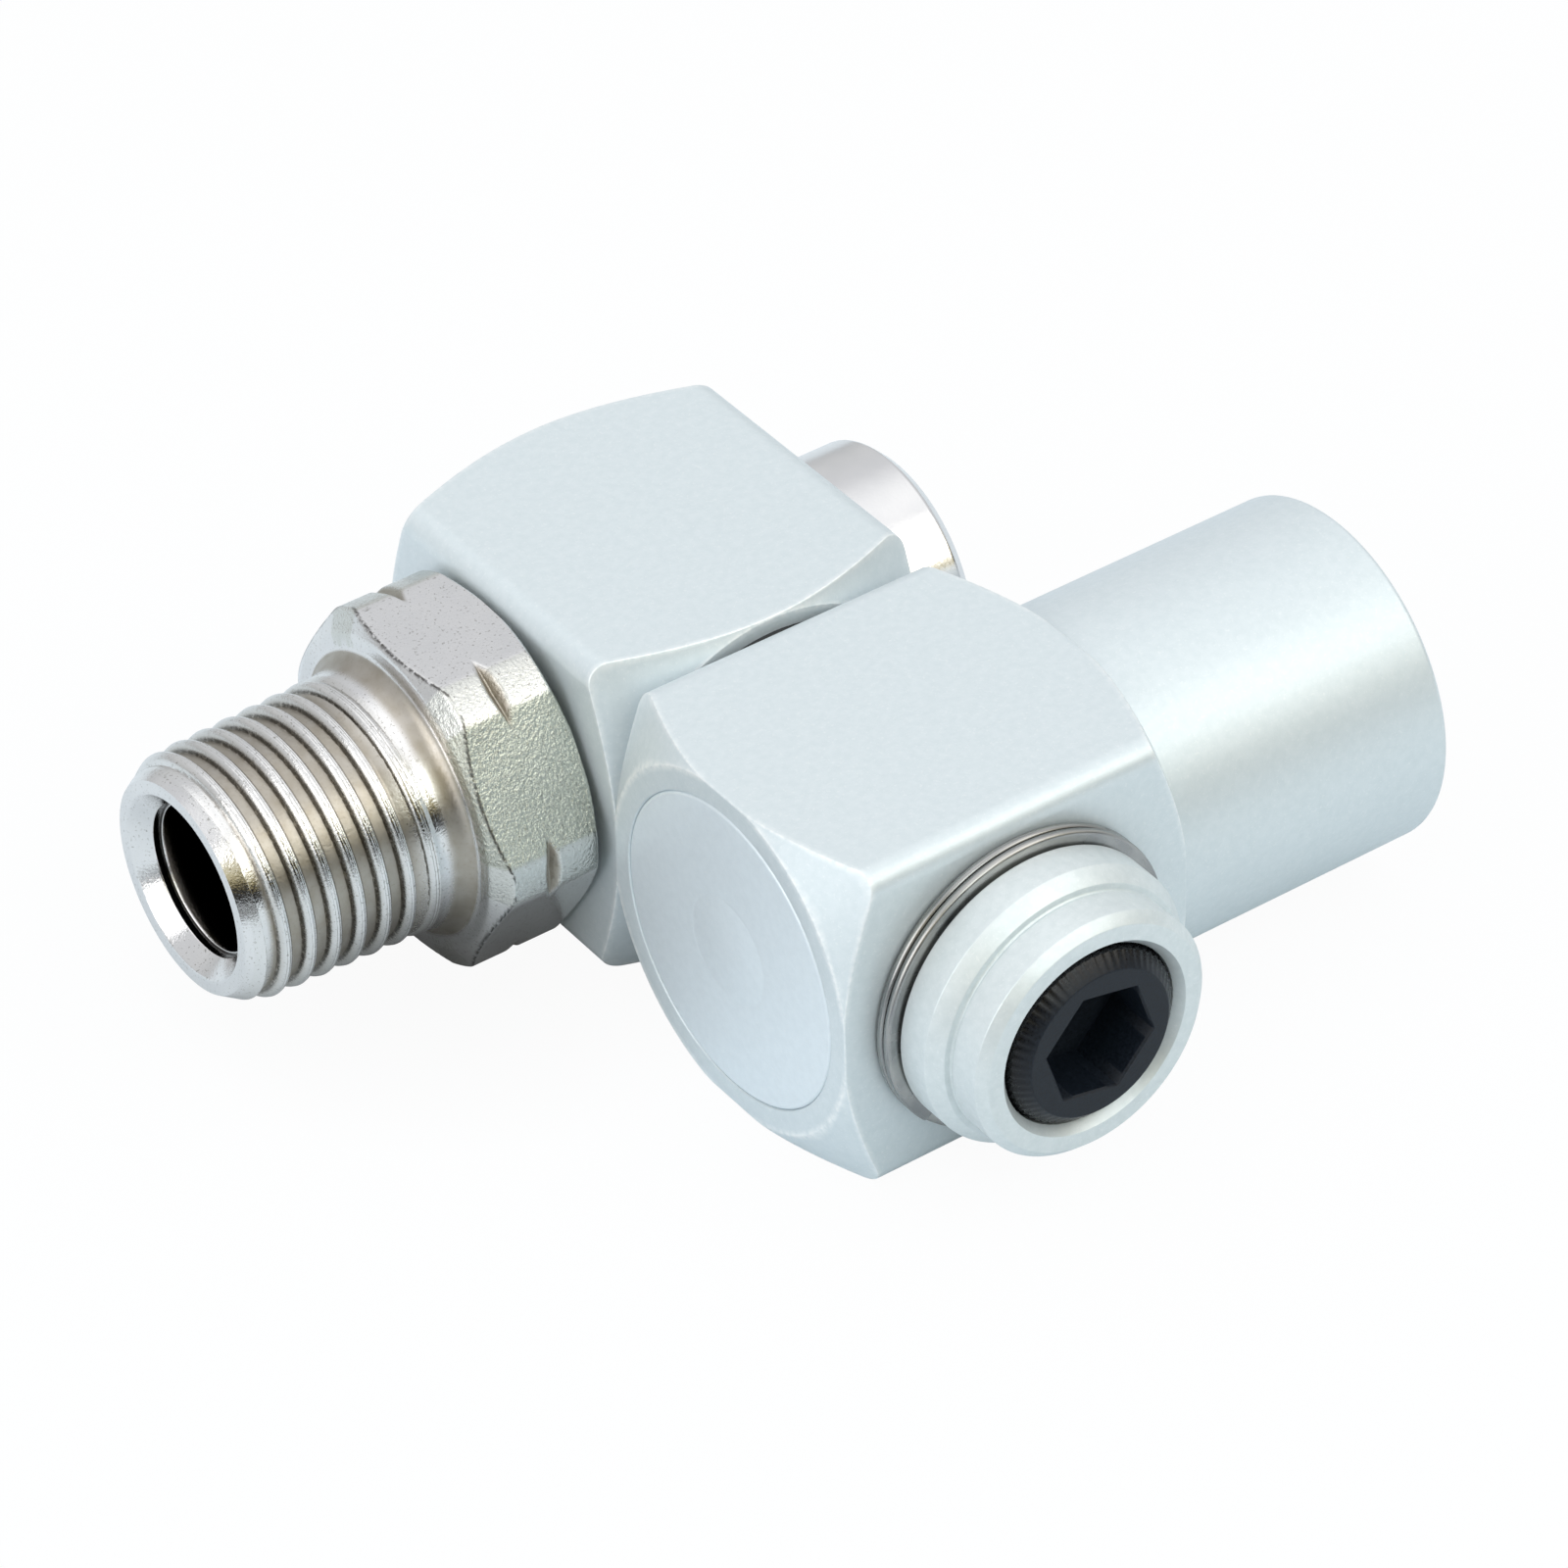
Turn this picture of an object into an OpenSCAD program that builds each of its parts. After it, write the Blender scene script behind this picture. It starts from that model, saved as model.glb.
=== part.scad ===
// Two-axis swivel connector for an air tool: two square blocks on a common stem,
// a male pipe nipple that turns in the inlet block, and a female port on the outlet block.
// Axes: X is the outlet port's axis, Y is the swivel stem's axis, Z is up.
// The origin is on the port's axis, where the thread's wall begins behind the mouth chamfer.

/* [Bar stock] */
// Width of the square bar that both blocks are cut from
bar_w = 19; // [18:0.5:21]
// Radius of the bar's long edges
bar_edge_r = 1.2; // [0.6:0.1:1.8]
// Slope of the turned cone at each block's end, from the end face
cone_deg = 30; // [22:1:36]
// Space between the two blocks
block_gap = 0.5; // [0.3:0.1:1]

/* [Outlet block] */
// From the stem's axis to the closed end
outlet_left = 10; // [9.9:0.1:12]
// From the stem's axis to the shoulder of the port tube
outlet_right = 10.5; // [10:0.1:12]
// Radius of the flat on the closed end, inside the cone
outlet_land_r = 9.65; // [9:0.05:9.8]
// Step from the bar's flat faces down to the round port tube
tube_step = 0.25; // [0.1:0.05:0.9]
// Length of the port tube, from its shoulder to its mouth
port_tube_len = 16.6; // [15:0.2:22]
// Radius of the threaded wall of the port
port_r = 6.85; // [6.4:0.05:7.2]
// Depth of the threaded wall, behind the mouth chamfer
port_depth = 13.7; // [12:0.1:14]
// Chamfer at the mouth of the port
port_chamfer = 0.8; // [0.4:0.1:1.2]
// Radius of the drilling from the port to the stem
passage_r = 4.5; // [3:0.1:5]
// Radius of the pressed disc that closes the drilling
plug_r = 8.35; // [7:0.05:8.6]
// Thickness of that disc
plug_t = 1.6; // [1:0.1:1.8]
// Chamfer on the disc and on the edge of its recess
plug_chamfer = 0.2; // [0.1:0.05:0.3]

/* [Inlet block] */
// Length of the block along the stem's axis
inlet_len = 20.2; // [19.5:0.1:24]
// Radius of the flat on each end, inside the cone
inlet_land_r = 9.4; // [8.8:0.05:9.6]

/* [Swivel stem] */
// Radius of the stem where the outlet block turns on it
stem_r = 7.7; // [7.4:0.05:7.9]
// Running clearance on radius of every turning fit
running_gap = 0.05; // [0.02:0.01:0.08]
// Length of the collar in front of the ring
collar_len = 1.9; // [1:0.1:3]
// Length of the slope in front of the collar
slope_len = 0.8; // [0.5:0.1:2]
// Fall in radius over that slope
slope_fall = 0.6; // [0.2:0.05:0.7]
// Radius of the nose in front of the slope
nose_r = 6.8; // [6.4:0.05:7]
// Length of the nose
nose_len = 2.45; // [1.5:0.05:5]
// Chamfer at the end of the nose
nose_chamfer = 0.5; // [0.3:0.05:0.7]
// Radius of the threaded end in the inlet block
stem_thread_r = 6; // [5:0.1:6.3]
// Length of the threaded end
stem_thread_len = 3.8; // [3:0.1:4]
// Width of the air gallery round the stem
gallery_w = 9; // [7:0.1:9.4]
// Depth of the air gallery
gallery_depth = 1.2; // [0.6:0.1:1.4]
// Radius of the four air holes in the gallery
stem_hole_r = 1.8; // [1:0.1:2]
// Radius of the air bore beyond the valve seat
stem_bore_r = 3.3; // [2.6:0.1:3.6]

/* [Retaining ring] */
// How far the two-turn ring stands out round the stem
ring_over = 0.6; // [0.5:0.05:0.9]
// Thickness of one turn
ring_turn_t = 0.5; // [0.4:0.05:0.6]
// Depth of the ring's groove in the stem
ring_groove_depth = 0.7; // [0.4:0.05:0.9]
// Width of the gap at each end of the ring's wire
ring_notch_w = 1.1; // [0.6:0.1:2]

/* [Seals] */
// Section radius of the stem's O-rings
stem_seal_wire_r = 0.68; // [0.5:0.02:0.75]
// From the outlet block's face to the middle of the O-ring
seal_inset = 2.3; // [2:0.1:2.6]
// Section radius of the nipple's O-rings
nipple_seal_wire_r = 0.58; // [0.45:0.01:0.65]
// From the inlet block's face to the middle of the O-ring
nipple_seal_inset = 3.2; // [2.6:0.1:3.6]
// Extra width of a seal's groove
groove_play = 0.4; // [0.2:0.05:0.6]
// Thickness of the slide washers on the nipple
washer_t = 0.3; // [0.2:0.05:0.6]
// Radial width of the slide washers on the nipple
washer_w = 1.6; // [1:0.1:2]
// Depth of the thrust washer's recess in the outlet block
recess_depth = 0.5; // [0.3:0.05:0.8]
// Radial width of the thrust washer
thrust_w = 0.9; // [0.6:0.05:1.1]

/* [Flow screw] */
// Radius of the screw's head
head_r = 5; // [4.5:0.1:5.2]
// Height of the screw's head
head_h = 6; // [4:0.1:6.2]
// Width of the slope round the top of the head
head_slope_w = 1; // [0.4:0.05:1.3]
// Height of that slope
head_slope_h = 0.8; // [0.3:0.05:1.2]
// How far the head stands out of the nose when the valve is open
head_proud = 0.4; // [0.1:0.05:0.8]
// Gap on radius between the head and its counterbore
head_gap = 0.45; // [0.2:0.05:0.6]
// Width across the flats of the key socket
socket_af = 5.56; // [4:0.02:6]
// Depth of the key socket
socket_depth = 3.2; // [2.5:0.1:3.6]
// Radius of the screw's thread
screw_r = 3; // [2.6:0.05:3.2]
// Travel of the screw from open to shut
screw_travel = 2; // [1.5:0.1:2.4]
// Section radius of the screw's O-ring
screw_seal_wire_r = 0.45; // [0.35:0.01:0.5]
// Radius of the valve seat
seat_r = 2; // [1.6:0.05:2.2]
// From the port's axis to the valve seat
seat_y = 2.6; // [2.2:0.1:3]

/* [Inlet nipple] */
// Length of the threaded part, tip chamfer included
thread_len = 10.7; // [9:0.1:12]
// Outer radius of the thread
thread_r = 6.75; // [6.5:0.05:6.9]
// Chamfer at the tip of the thread
tip_chamfer = 1; // [0.6:0.05:1.3]
// Radius of the entry bore at the tip
entry_r = 4.05; // [3.8:0.05:4.4]
// Depth of the countersink at the tip
entry_sink = 0.9; // [0.5:0.05:1.2]
// Length of the entry bore behind the countersink
entry_len = 1.1; // [0.6:0.1:2]
// Radius of the air bore
nipple_bore_r = 3.6; // [2.8:0.1:3.7]
// Length of the neck between thread and hexagon
neck_len = 1.6; // [1:0.1:3]
// How much narrower than the bar the hexagon is across its flats
hex_under = 1.4; // [0.8:0.1:3]
// Thickness of the hexagon
hex_t = 6.1; // [5:0.1:7]
// How far the hexagon's turned corners reach past the bar's flat faces
hex_corner_over = 0.1; // [0:0.05:0.5]
// Width of the chamfer turned on the hexagon's corners, on the thread's side
hex_front_chamfer = 1.15; // [0.9:0.05:1.3]
// Width of that chamfer on the block's side
hex_back_chamfer = 0.75; // [0.5:0.05:1]
// Turn of the hexagon about its axis
hex_turn_deg = 2.5; // [0:0.5:30]
// Depth of the groove round the hexagon, from its corners
hex_groove_depth = 0.4; // [0.2:0.05:0.6]
// Width of that groove at the corners
hex_groove_w = 0.85; // [0.5:0.05:1.4]
// Radius of the spindle that turns in the inlet block
spindle_r = 5.8; // [5.5:0.05:6]
// Depth of the air gallery round the spindle
spindle_gallery_depth = 0.9; // [0.5:0.05:1]
// Width of that gallery
spindle_gallery_w = 7.2; // [6.8:0.1:8]
// Radius of the four air holes in the spindle
spindle_hole_r = 2.1; // [1:0.1:2.4]
// Radius of the stud that the cap is screwed on
stud_r = 4; // [3.4:0.1:4.6]
// Length of that stud
stud_len = 3.4; // [2.5:0.1:3.8]
// Radius of the cap
cap_r = 7.1; // [6.8:0.05:8]
// Thickness of the cap
cap_t = 5; // [4.5:0.1:6]
// Chamfer round the end of the cap
cap_chamfer = 0.6; // [0.3:0.05:1]

/* [Hidden] */
$fn = 96;
cut = 0.01;
static_gap = 0.02;
half = bar_w / 2;
cone_rise = tan(cone_deg);
corner_reach = bar_w;

block_face_y = -half;
inlet_near = half + block_gap;
inlet_mid = inlet_near + inlet_len / 2;
port_tube_r = half - tube_step;
port_mouth_x = outlet_right + port_tube_len;
origin_x = port_mouth_x - port_chamfer;
port_floor_x = origin_x - port_depth;

stem_bore_wall_r = stem_r + running_gap;
ring_r = stem_r + ring_over;
ring_t = 2 * ring_turn_t;
ring_play = 0.05;
ring_gap = 0.1;
ring_near_y = block_face_y - ring_gap;
ring_far_y = ring_near_y - ring_t;
groove_near_y = ring_near_y + ring_play;
groove_far_y = ring_far_y - 3 * ring_play;
ring_groove_r = stem_r - ring_groove_depth;
collar_end_y = groove_far_y - collar_len;
slope_end_y = collar_end_y - slope_len;
nose_end_y = slope_end_y - nose_len;
stem_shoulder_y = inlet_near;
stem_end_y = stem_shoulder_y + stem_thread_len;

stem_seal_w = 2 * stem_seal_wire_r + groove_play;
stem_seal_floor_r = stem_r - 2 * stem_seal_wire_r;
stem_seal_y = half - seal_inset;
port_seal_wire_r = 0.5;
port_seal_depth = 2 * port_seal_wire_r + static_gap;
port_seal_mid_r = stem_thread_r + port_seal_wire_r + static_gap;

screw_bore_r = screw_r + running_gap;
counterbore_r = head_r + head_gap;
head_front_y = nose_end_y - head_proud;
head_back_y = head_front_y + head_h;
floor_gap = 0.2;
counterbore_floor_y = head_back_y + screw_travel + floor_gap;
seal_land = 0.4;
chamber_start_y = -stem_hole_r;
screw_seal_w = 2 * screw_seal_wire_r + groove_play / 2;
screw_land_end_y = chamber_start_y - screw_travel;
screw_seal_y = screw_land_end_y - seal_land - screw_seal_w / 2;
screw_seal_floor_r = screw_bore_r - 2 * screw_seal_wire_r;
needle_r = seat_r + 0.4;
needle_tip_r = seat_r / 2;
needle_cone_len = 2;
needle_neck_r = screw_r / 2;
seat_touch_r = seat_r - running_gap;
needle_touch = needle_cone_len * (needle_r - seat_touch_r) / (needle_r - needle_tip_r);
cone_start_y = seat_y - needle_touch - screw_travel;
neck_slope = 0.6;
seat_len = 2.2;

washer_gap = 0.05;
hex_back_x = -half - washer_t - 2 * washer_gap;
hex_mid_x = hex_back_x - hex_t / 2;
hex_front_x = hex_back_x - hex_t;
thread_end_x = hex_front_x - neck_len;
tip_x = thread_end_x - thread_len;
hex_af = bar_w - hex_under;
hex_corner_r = half + hex_corner_over;
hex_groove_r = hex_corner_r - hex_groove_depth;
hex_chamfer_rise = tan(30);
hex_land_r = hex_corner_r - hex_front_chamfer;
hex_back_land_r = hex_corner_r - hex_back_chamfer;
neck_land = 0.6;
hex_neck_r = hex_land_r - neck_land;
spindle_wall_r = spindle_r + running_gap;
cap_seat_x = half + washer_t + 2 * washer_gap;
cap_end_x = cap_seat_x + cap_t;
nipple_seal_w = 2 * nipple_seal_wire_r + groove_play;
nipple_seal_floor_r = spindle_r - 2 * nipple_seal_wire_r;
nipple_seal_x = half - nipple_seal_inset;
nipple_bore_end_x = spindle_gallery_w / 2 - 0.6;
drill_point = nipple_bore_r * 0.6;

ALLOY = [0.80, 0.85, 0.87];
NICKEL = [0.74, 0.73, 0.71];
STEEL = [0.55, 0.55, 0.53];
BLACK = [0.09, 0.09, 0.10];
RUBBER = [0.05, 0.05, 0.05];
SLIDE = [0.14, 0.14, 0.15];

// Shapes along an axis are drawn along Z and then laid on the stem's axis or on the nipple's axis.
module from_origin() {
    translate([-origin_x, 0, 0]) children();
}

module on_stem_axis() {
    from_origin() rotate([-90, 0, 0]) children();
}

module on_port_axis() {
    from_origin() rotate([0, 90, 0]) children();
}

module on_nipple_axis() {
    from_origin() translate([0, inlet_mid, 0]) rotate([0, 90, 0]) children();
}

// A turned solid: each point is [radius, place along the axis]
module turned(points) {
    rotate_extrude() polygon(points);
}

module washer(inner_r, outer_r, from, to) {
    turned([[inner_r, from], [outer_r, from], [outer_r, to], [inner_r, to]]);
}

module o_ring(mid_r, wire_r, at) {
    translate([0, 0, at]) rotate_extrude() translate([mid_r, 0]) circle(r = wire_r, $fn = 32);
}

// Holes through the wall of a turned piece, on four sides
module cross_holes(r, reach, at = 0) {
    translate([0, 0, at]) {
        rotate([90, 0, 0]) cylinder(r = r, h = 2 * reach, center = true, $fn = 48);
        rotate([0, 90, 0]) cylinder(r = r, h = 2 * reach, center = true, $fn = 48);
    }
}

// Square bar with rounded long edges
module bar_section() {
    inner = bar_w - 2 * bar_edge_r;
    union() {
        square([inner, bar_w], center = true);
        square([bar_w, inner], center = true);
        for (x = [-1, 1], y = [-1, 1])
            translate([x * inner / 2, y * inner / 2]) circle(r = bar_edge_r);
    }
}

// A length of bar whose two ends are turned to cones that stop at a flat land
module coned_bar(from, to, land_r) {
    rise = (corner_reach - land_r) * cone_rise;
    intersection() {
        translate([0, 0, from]) linear_extrude(to - from) bar_section();
        turned([
            [0, from], [land_r, from], [corner_reach, from + rise],
            [corner_reach, to - rise], [land_r, to], [0, to]
        ]);
    }
}

module port_tube() {
    edge = 0.3;
    turned([
        [0, 0], [port_tube_r, 0], [port_tube_r, port_mouth_x - edge],
        [port_tube_r - edge, port_mouth_x], [0, port_mouth_x]
    ]);
}

module port_bore() {
    turned([
        [0, -outlet_left + plug_t], [passage_r, -outlet_left + plug_t], [passage_r, port_floor_x],
        [port_r, port_floor_x], [port_r, origin_x], [port_r + port_chamfer, port_mouth_x],
        [port_r + port_chamfer, port_mouth_x + 1], [0, port_mouth_x + 1]
    ]);
}

module plug_recess() {
    turned([
        [0, -outlet_left - 1], [plug_r + plug_chamfer, -outlet_left - 1],
        [plug_r + plug_chamfer, -outlet_left], [plug_r, -outlet_left + plug_chamfer],
        [plug_r, -outlet_left + plug_t + cut], [0, -outlet_left + plug_t + cut]
    ]);
}

module outlet_block() {
    color(ALLOY) difference() {
        on_port_axis() union() {
            coned_bar(-outlet_left, outlet_right, outlet_land_r);
            port_tube();
        }
        on_port_axis() port_bore();
        on_port_axis() plug_recess();
        on_stem_axis() turned([
            [0, -half - 1], [stem_bore_wall_r, -half - 1], [stem_bore_wall_r, half - recess_depth],
            [stem_bore_wall_r + thrust_w, half - recess_depth],
            [stem_bore_wall_r + thrust_w, half + 1], [0, half + 1]
        ]);
    }
}

module end_plug() {
    r = plug_r - static_gap;
    color(ALLOY) on_port_axis() turned([
        [0, -outlet_left], [r - plug_chamfer, -outlet_left], [r, -outlet_left + plug_chamfer],
        [r, -outlet_left + plug_t - static_gap], [0, -outlet_left + plug_t - static_gap]
    ]);
}

module inlet_block() {
    lead = 0.25;
    hole_r = stem_thread_r + static_gap;
    gland_r = port_seal_mid_r + port_seal_wire_r + static_gap;
    color(ALLOY) difference() {
        on_stem_axis() coned_bar(inlet_near, inlet_near + inlet_len, inlet_land_r);
        on_nipple_axis() turned([
            [0, -half - 1], [spindle_wall_r + lead, -half - 1], [spindle_wall_r + lead, -half],
            [spindle_wall_r, -half + lead], [spindle_wall_r, half - lead],
            [spindle_wall_r + lead, half], [spindle_wall_r + lead, half + 1], [0, half + 1]
        ]);
        on_stem_axis() turned([
            [0, inlet_near - 1], [gland_r, inlet_near - 1],
            [gland_r, inlet_near + port_seal_depth], [hole_r, inlet_near + port_seal_depth],
            [hole_r, stem_end_y + static_gap], [stem_bore_r, stem_end_y + static_gap],
            [stem_bore_r, inlet_mid], [0, inlet_mid]
        ]);
    }
}

module stem_body() {
    gallery_r = stem_r - gallery_depth;
    end_chamfer = 0.4;
    turned([
        [0, nose_end_y], [nose_r - nose_chamfer, nose_end_y], [nose_r, nose_end_y + nose_chamfer],
        [nose_r, slope_end_y], [stem_r - slope_fall, slope_end_y], [stem_r, collar_end_y],
        [stem_r, groove_far_y],
        [ring_groove_r, groove_far_y], [ring_groove_r, groove_near_y],
        [stem_r, groove_near_y],
        [stem_r, -gallery_w / 2], [gallery_r, -gallery_w / 2],
        [gallery_r, gallery_w / 2], [stem_r, gallery_w / 2],
        [stem_r, stem_shoulder_y], [stem_thread_r, stem_shoulder_y],
        [stem_thread_r, stem_end_y - end_chamfer], [stem_thread_r - end_chamfer, stem_end_y],
        [0, stem_end_y]
    ]);
}

module seal_groove(floor_r, outer_r, mid, width) {
    washer(floor_r, outer_r + 1, mid - width / 2, mid + width / 2);
}

module stem_bores() {
    rim = 0.3;
    turned([
        [0, nose_end_y - 1], [counterbore_r + rim, nose_end_y - 1],
        [counterbore_r + rim, nose_end_y], [counterbore_r, nose_end_y + 2 * rim],
        [counterbore_r, counterbore_floor_y], [screw_bore_r, counterbore_floor_y],
        [screw_bore_r, seat_y], [seat_r, seat_y], [seat_r, seat_y + seat_len],
        [stem_bore_r, seat_y + seat_len], [stem_bore_r, stem_end_y + 1], [0, stem_end_y + 1]
    ]);
}

module swivel_stem() {
    color(ALLOY) on_stem_axis() difference() {
        stem_body();
        stem_bores();
        cross_holes(stem_hole_r, stem_r);
        for (side = [-1, 1])
            seal_groove(stem_seal_floor_r, stem_r, side * stem_seal_y, stem_seal_w);
    }
}

// One flat turn with rounded outer edges, and a small gap where the wire ends
module ring_turn(from, to, notch_deg) {
    edge = 0.15;
    inner_r = ring_groove_r + ring_play;
    difference() {
        turned([
            [inner_r, from], [ring_r - edge, from], [ring_r, from + edge],
            [ring_r, to - edge], [ring_r - edge, to], [inner_r, to]
        ]);
        rotate([0, 0, notch_deg])
            translate([ring_r, 0, (from + to) / 2])
            cube([2 * (ring_r - inner_r) + 1, ring_notch_w, to - from + 2 * cut], center = true);
    }
}

module retaining_ring() {
    front_end_deg = 232;
    overlap_deg = 25;
    mid = (ring_near_y + ring_far_y) / 2;
    color(STEEL) on_stem_axis() union() {
        ring_turn(ring_far_y, mid, front_end_deg);
        ring_turn(mid, ring_near_y, front_end_deg + overlap_deg);
    }
}

module thrust_washer() {
    color(SLIDE) on_stem_axis() washer(
        stem_bore_wall_r, stem_bore_wall_r + thrust_w - running_gap,
        half - recess_depth + washer_gap, inlet_near
    );
}

module stem_oring(side) {
    color(RUBBER) on_stem_axis()
        o_ring(stem_seal_floor_r + stem_seal_wire_r, stem_seal_wire_r, side * stem_seal_y);
}

module stem_port_seal() {
    color(RUBBER) on_stem_axis()
        o_ring(port_seal_mid_r, port_seal_wire_r, inlet_near + port_seal_depth / 2);
}

module hexagon() {
    front_end = hex_front_x + hex_front_chamfer * hex_chamfer_rise;
    back_end = hex_back_x - hex_back_chamfer * hex_chamfer_rise;
    groove = hex_groove_w / 2;
    intersection() {
        rotate([0, 0, 90 + hex_turn_deg])
            translate([0, 0, hex_front_x])
            cylinder(r = hex_af / 2 / cos(30), h = hex_t, $fn = 6);
        turned([
            [0, hex_front_x], [hex_land_r, hex_front_x], [hex_corner_r, front_end],
            [hex_corner_r, hex_mid_x - groove], [hex_groove_r, hex_mid_x],
            [hex_corner_r, hex_mid_x + groove], [hex_corner_r, back_end],
            [hex_back_land_r, hex_back_x], [0, hex_back_x]
        ]);
    }
}

// The hollow neck flares along an arc from the thread's end to the hexagon's face
module nipple_shank() {
    first_deg = 30;
    turn_deg = 12;
    flare = hex_neck_r - thread_r;
    neck = [
        for (a = [first_deg:turn_deg:90]) [
            thread_r + flare * (1 - cos(a) / cos(first_deg)),
            thread_end_x + neck_len * (sin(a) - sin(first_deg)) / (1 - sin(first_deg))
        ]
    ];
    turned(concat(
        [[0, tip_x], [thread_r - tip_chamfer, tip_x], [thread_r, tip_x + tip_chamfer]],
        neck,
        [[hex_neck_r, hex_front_x + cut], [0, hex_front_x + cut]]
    ));
}

module nipple_spindle() {
    gallery_r = spindle_r - spindle_gallery_depth;
    edge = 0.4;
    turned([
        [0, hex_back_x - cut], [spindle_r, hex_back_x - cut],
        [spindle_r, -spindle_gallery_w / 2], [gallery_r, -spindle_gallery_w / 2],
        [gallery_r, spindle_gallery_w / 2], [spindle_r, spindle_gallery_w / 2],
        [spindle_r, cap_seat_x], [stud_r, cap_seat_x],
        [stud_r, cap_seat_x + stud_len - edge], [stud_r - edge, cap_seat_x + stud_len],
        [0, cap_seat_x + stud_len]
    ]);
}

module nipple_bore() {
    sink_r = entry_r + entry_sink;
    turned([
        [0, tip_x - 1], [sink_r, tip_x - 1], [sink_r, tip_x], [entry_r, tip_x + entry_sink],
        [entry_r, tip_x + entry_sink + entry_len], [nipple_bore_r, tip_x + entry_sink + entry_len],
        [nipple_bore_r, nipple_bore_end_x], [0, nipple_bore_end_x + drill_point]
    ]);
}

module inlet_nipple() {
    color(NICKEL) on_nipple_axis() difference() {
        union() {
            nipple_shank();
            hexagon();
            nipple_spindle();
        }
        nipple_bore();
        cross_holes(spindle_hole_r, spindle_r);
        for (side = [-1, 1])
            seal_groove(nipple_seal_floor_r, spindle_r, side * nipple_seal_x, nipple_seal_w);
    }
}

module nipple_cap() {
    hole_r = stud_r + static_gap;
    edge = 0.2;
    color(NICKEL) on_nipple_axis() turned([
        [hole_r, cap_seat_x], [cap_r - edge, cap_seat_x], [cap_r, cap_seat_x + edge],
        [cap_r, cap_end_x - cap_chamfer], [cap_r - cap_chamfer, cap_end_x], [0, cap_end_x],
        [0, cap_seat_x + stud_len + static_gap], [hole_r, cap_seat_x + stud_len + static_gap]
    ]);
}

module nipple_oring(side) {
    color(RUBBER) on_nipple_axis()
        o_ring(nipple_seal_floor_r + nipple_seal_wire_r, nipple_seal_wire_r, side * nipple_seal_x);
}

module nipple_washer(side) {
    near = half + washer_gap;
    color(SLIDE) on_nipple_axis() mirror([0, 0, side < 0 ? 1 : 0])
        washer(spindle_wall_r, spindle_wall_r + washer_w, near, near + washer_t);
}

module screw_body() {
    turned([
        [0, head_front_y], [head_r - head_slope_w, head_front_y],
        [head_r, head_front_y + head_slope_h], [head_r, head_back_y],
        [screw_r, head_back_y], [screw_r, screw_land_end_y],
        [needle_neck_r, screw_land_end_y + neck_slope], [needle_neck_r, cone_start_y - neck_slope],
        [needle_r, cone_start_y], [needle_tip_r, cone_start_y + needle_cone_len],
        [0, cone_start_y + needle_cone_len]
    ]);
}

module key_socket() {
    corner_r = socket_af / 2 / cos(30);
    socket_turn_deg = 12;
    point = 1.1;
    rotate([0, 0, socket_turn_deg]) translate([0, 0, head_front_y - 1])
        cylinder(r = corner_r, h = 1 + socket_depth, $fn = 6);
    turned([
        [0, head_front_y + socket_depth - cut],
        [socket_af / 2 - 0.3, head_front_y + socket_depth - cut],
        [0, head_front_y + socket_depth + point]
    ]);
}

module flow_screw() {
    color(BLACK) on_stem_axis() difference() {
        screw_body();
        key_socket();
        seal_groove(screw_seal_floor_r, screw_r, screw_seal_y, screw_seal_w);
    }
}

module screw_oring() {
    mid_r = screw_seal_floor_r + screw_seal_wire_r;
    color(RUBBER) on_stem_axis() o_ring(mid_r, screw_seal_wire_r - cut, screw_seal_y);
}

inlet_block();
swivel_stem();
retaining_ring();
thrust_washer();
stem_oring(-1);  // stem_oring_front
stem_oring(1);  // stem_oring_rear
stem_port_seal();
outlet_block();
end_plug();
inlet_nipple();
nipple_cap();
nipple_oring(-1);  // nipple_oring_front
nipple_oring(1);  // nipple_oring_rear
nipple_washer(-1);  // nipple_washer_front
nipple_washer(1);  // nipple_washer_rear
flow_screw();
screw_oring();
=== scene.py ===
import math

import bmesh
import bpy
import numpy as np
from mathutils import Matrix, Vector


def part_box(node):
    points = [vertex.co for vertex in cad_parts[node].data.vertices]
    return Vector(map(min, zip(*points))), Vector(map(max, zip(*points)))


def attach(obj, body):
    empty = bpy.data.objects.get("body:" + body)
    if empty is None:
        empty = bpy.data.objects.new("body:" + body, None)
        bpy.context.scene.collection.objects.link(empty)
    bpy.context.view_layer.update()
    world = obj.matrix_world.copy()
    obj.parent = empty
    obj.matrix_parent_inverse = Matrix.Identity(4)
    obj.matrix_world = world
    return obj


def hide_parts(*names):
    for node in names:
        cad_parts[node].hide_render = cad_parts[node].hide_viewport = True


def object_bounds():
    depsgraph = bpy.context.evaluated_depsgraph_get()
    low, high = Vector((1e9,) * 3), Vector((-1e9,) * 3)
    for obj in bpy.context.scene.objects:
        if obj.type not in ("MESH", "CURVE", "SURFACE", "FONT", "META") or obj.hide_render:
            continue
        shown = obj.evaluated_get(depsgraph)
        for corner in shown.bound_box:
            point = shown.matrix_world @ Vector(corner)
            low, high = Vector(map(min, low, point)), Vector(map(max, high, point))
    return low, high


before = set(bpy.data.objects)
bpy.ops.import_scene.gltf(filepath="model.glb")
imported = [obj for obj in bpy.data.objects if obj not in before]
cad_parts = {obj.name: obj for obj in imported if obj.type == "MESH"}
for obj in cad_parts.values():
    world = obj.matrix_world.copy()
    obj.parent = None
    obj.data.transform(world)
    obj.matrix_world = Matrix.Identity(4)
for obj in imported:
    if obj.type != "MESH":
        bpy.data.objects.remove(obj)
cad_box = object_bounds()

MM = 0.001


# Sizes read from the frame
def node_box(name):
    low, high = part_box(name)
    return np.array(low), np.array(high)


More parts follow.
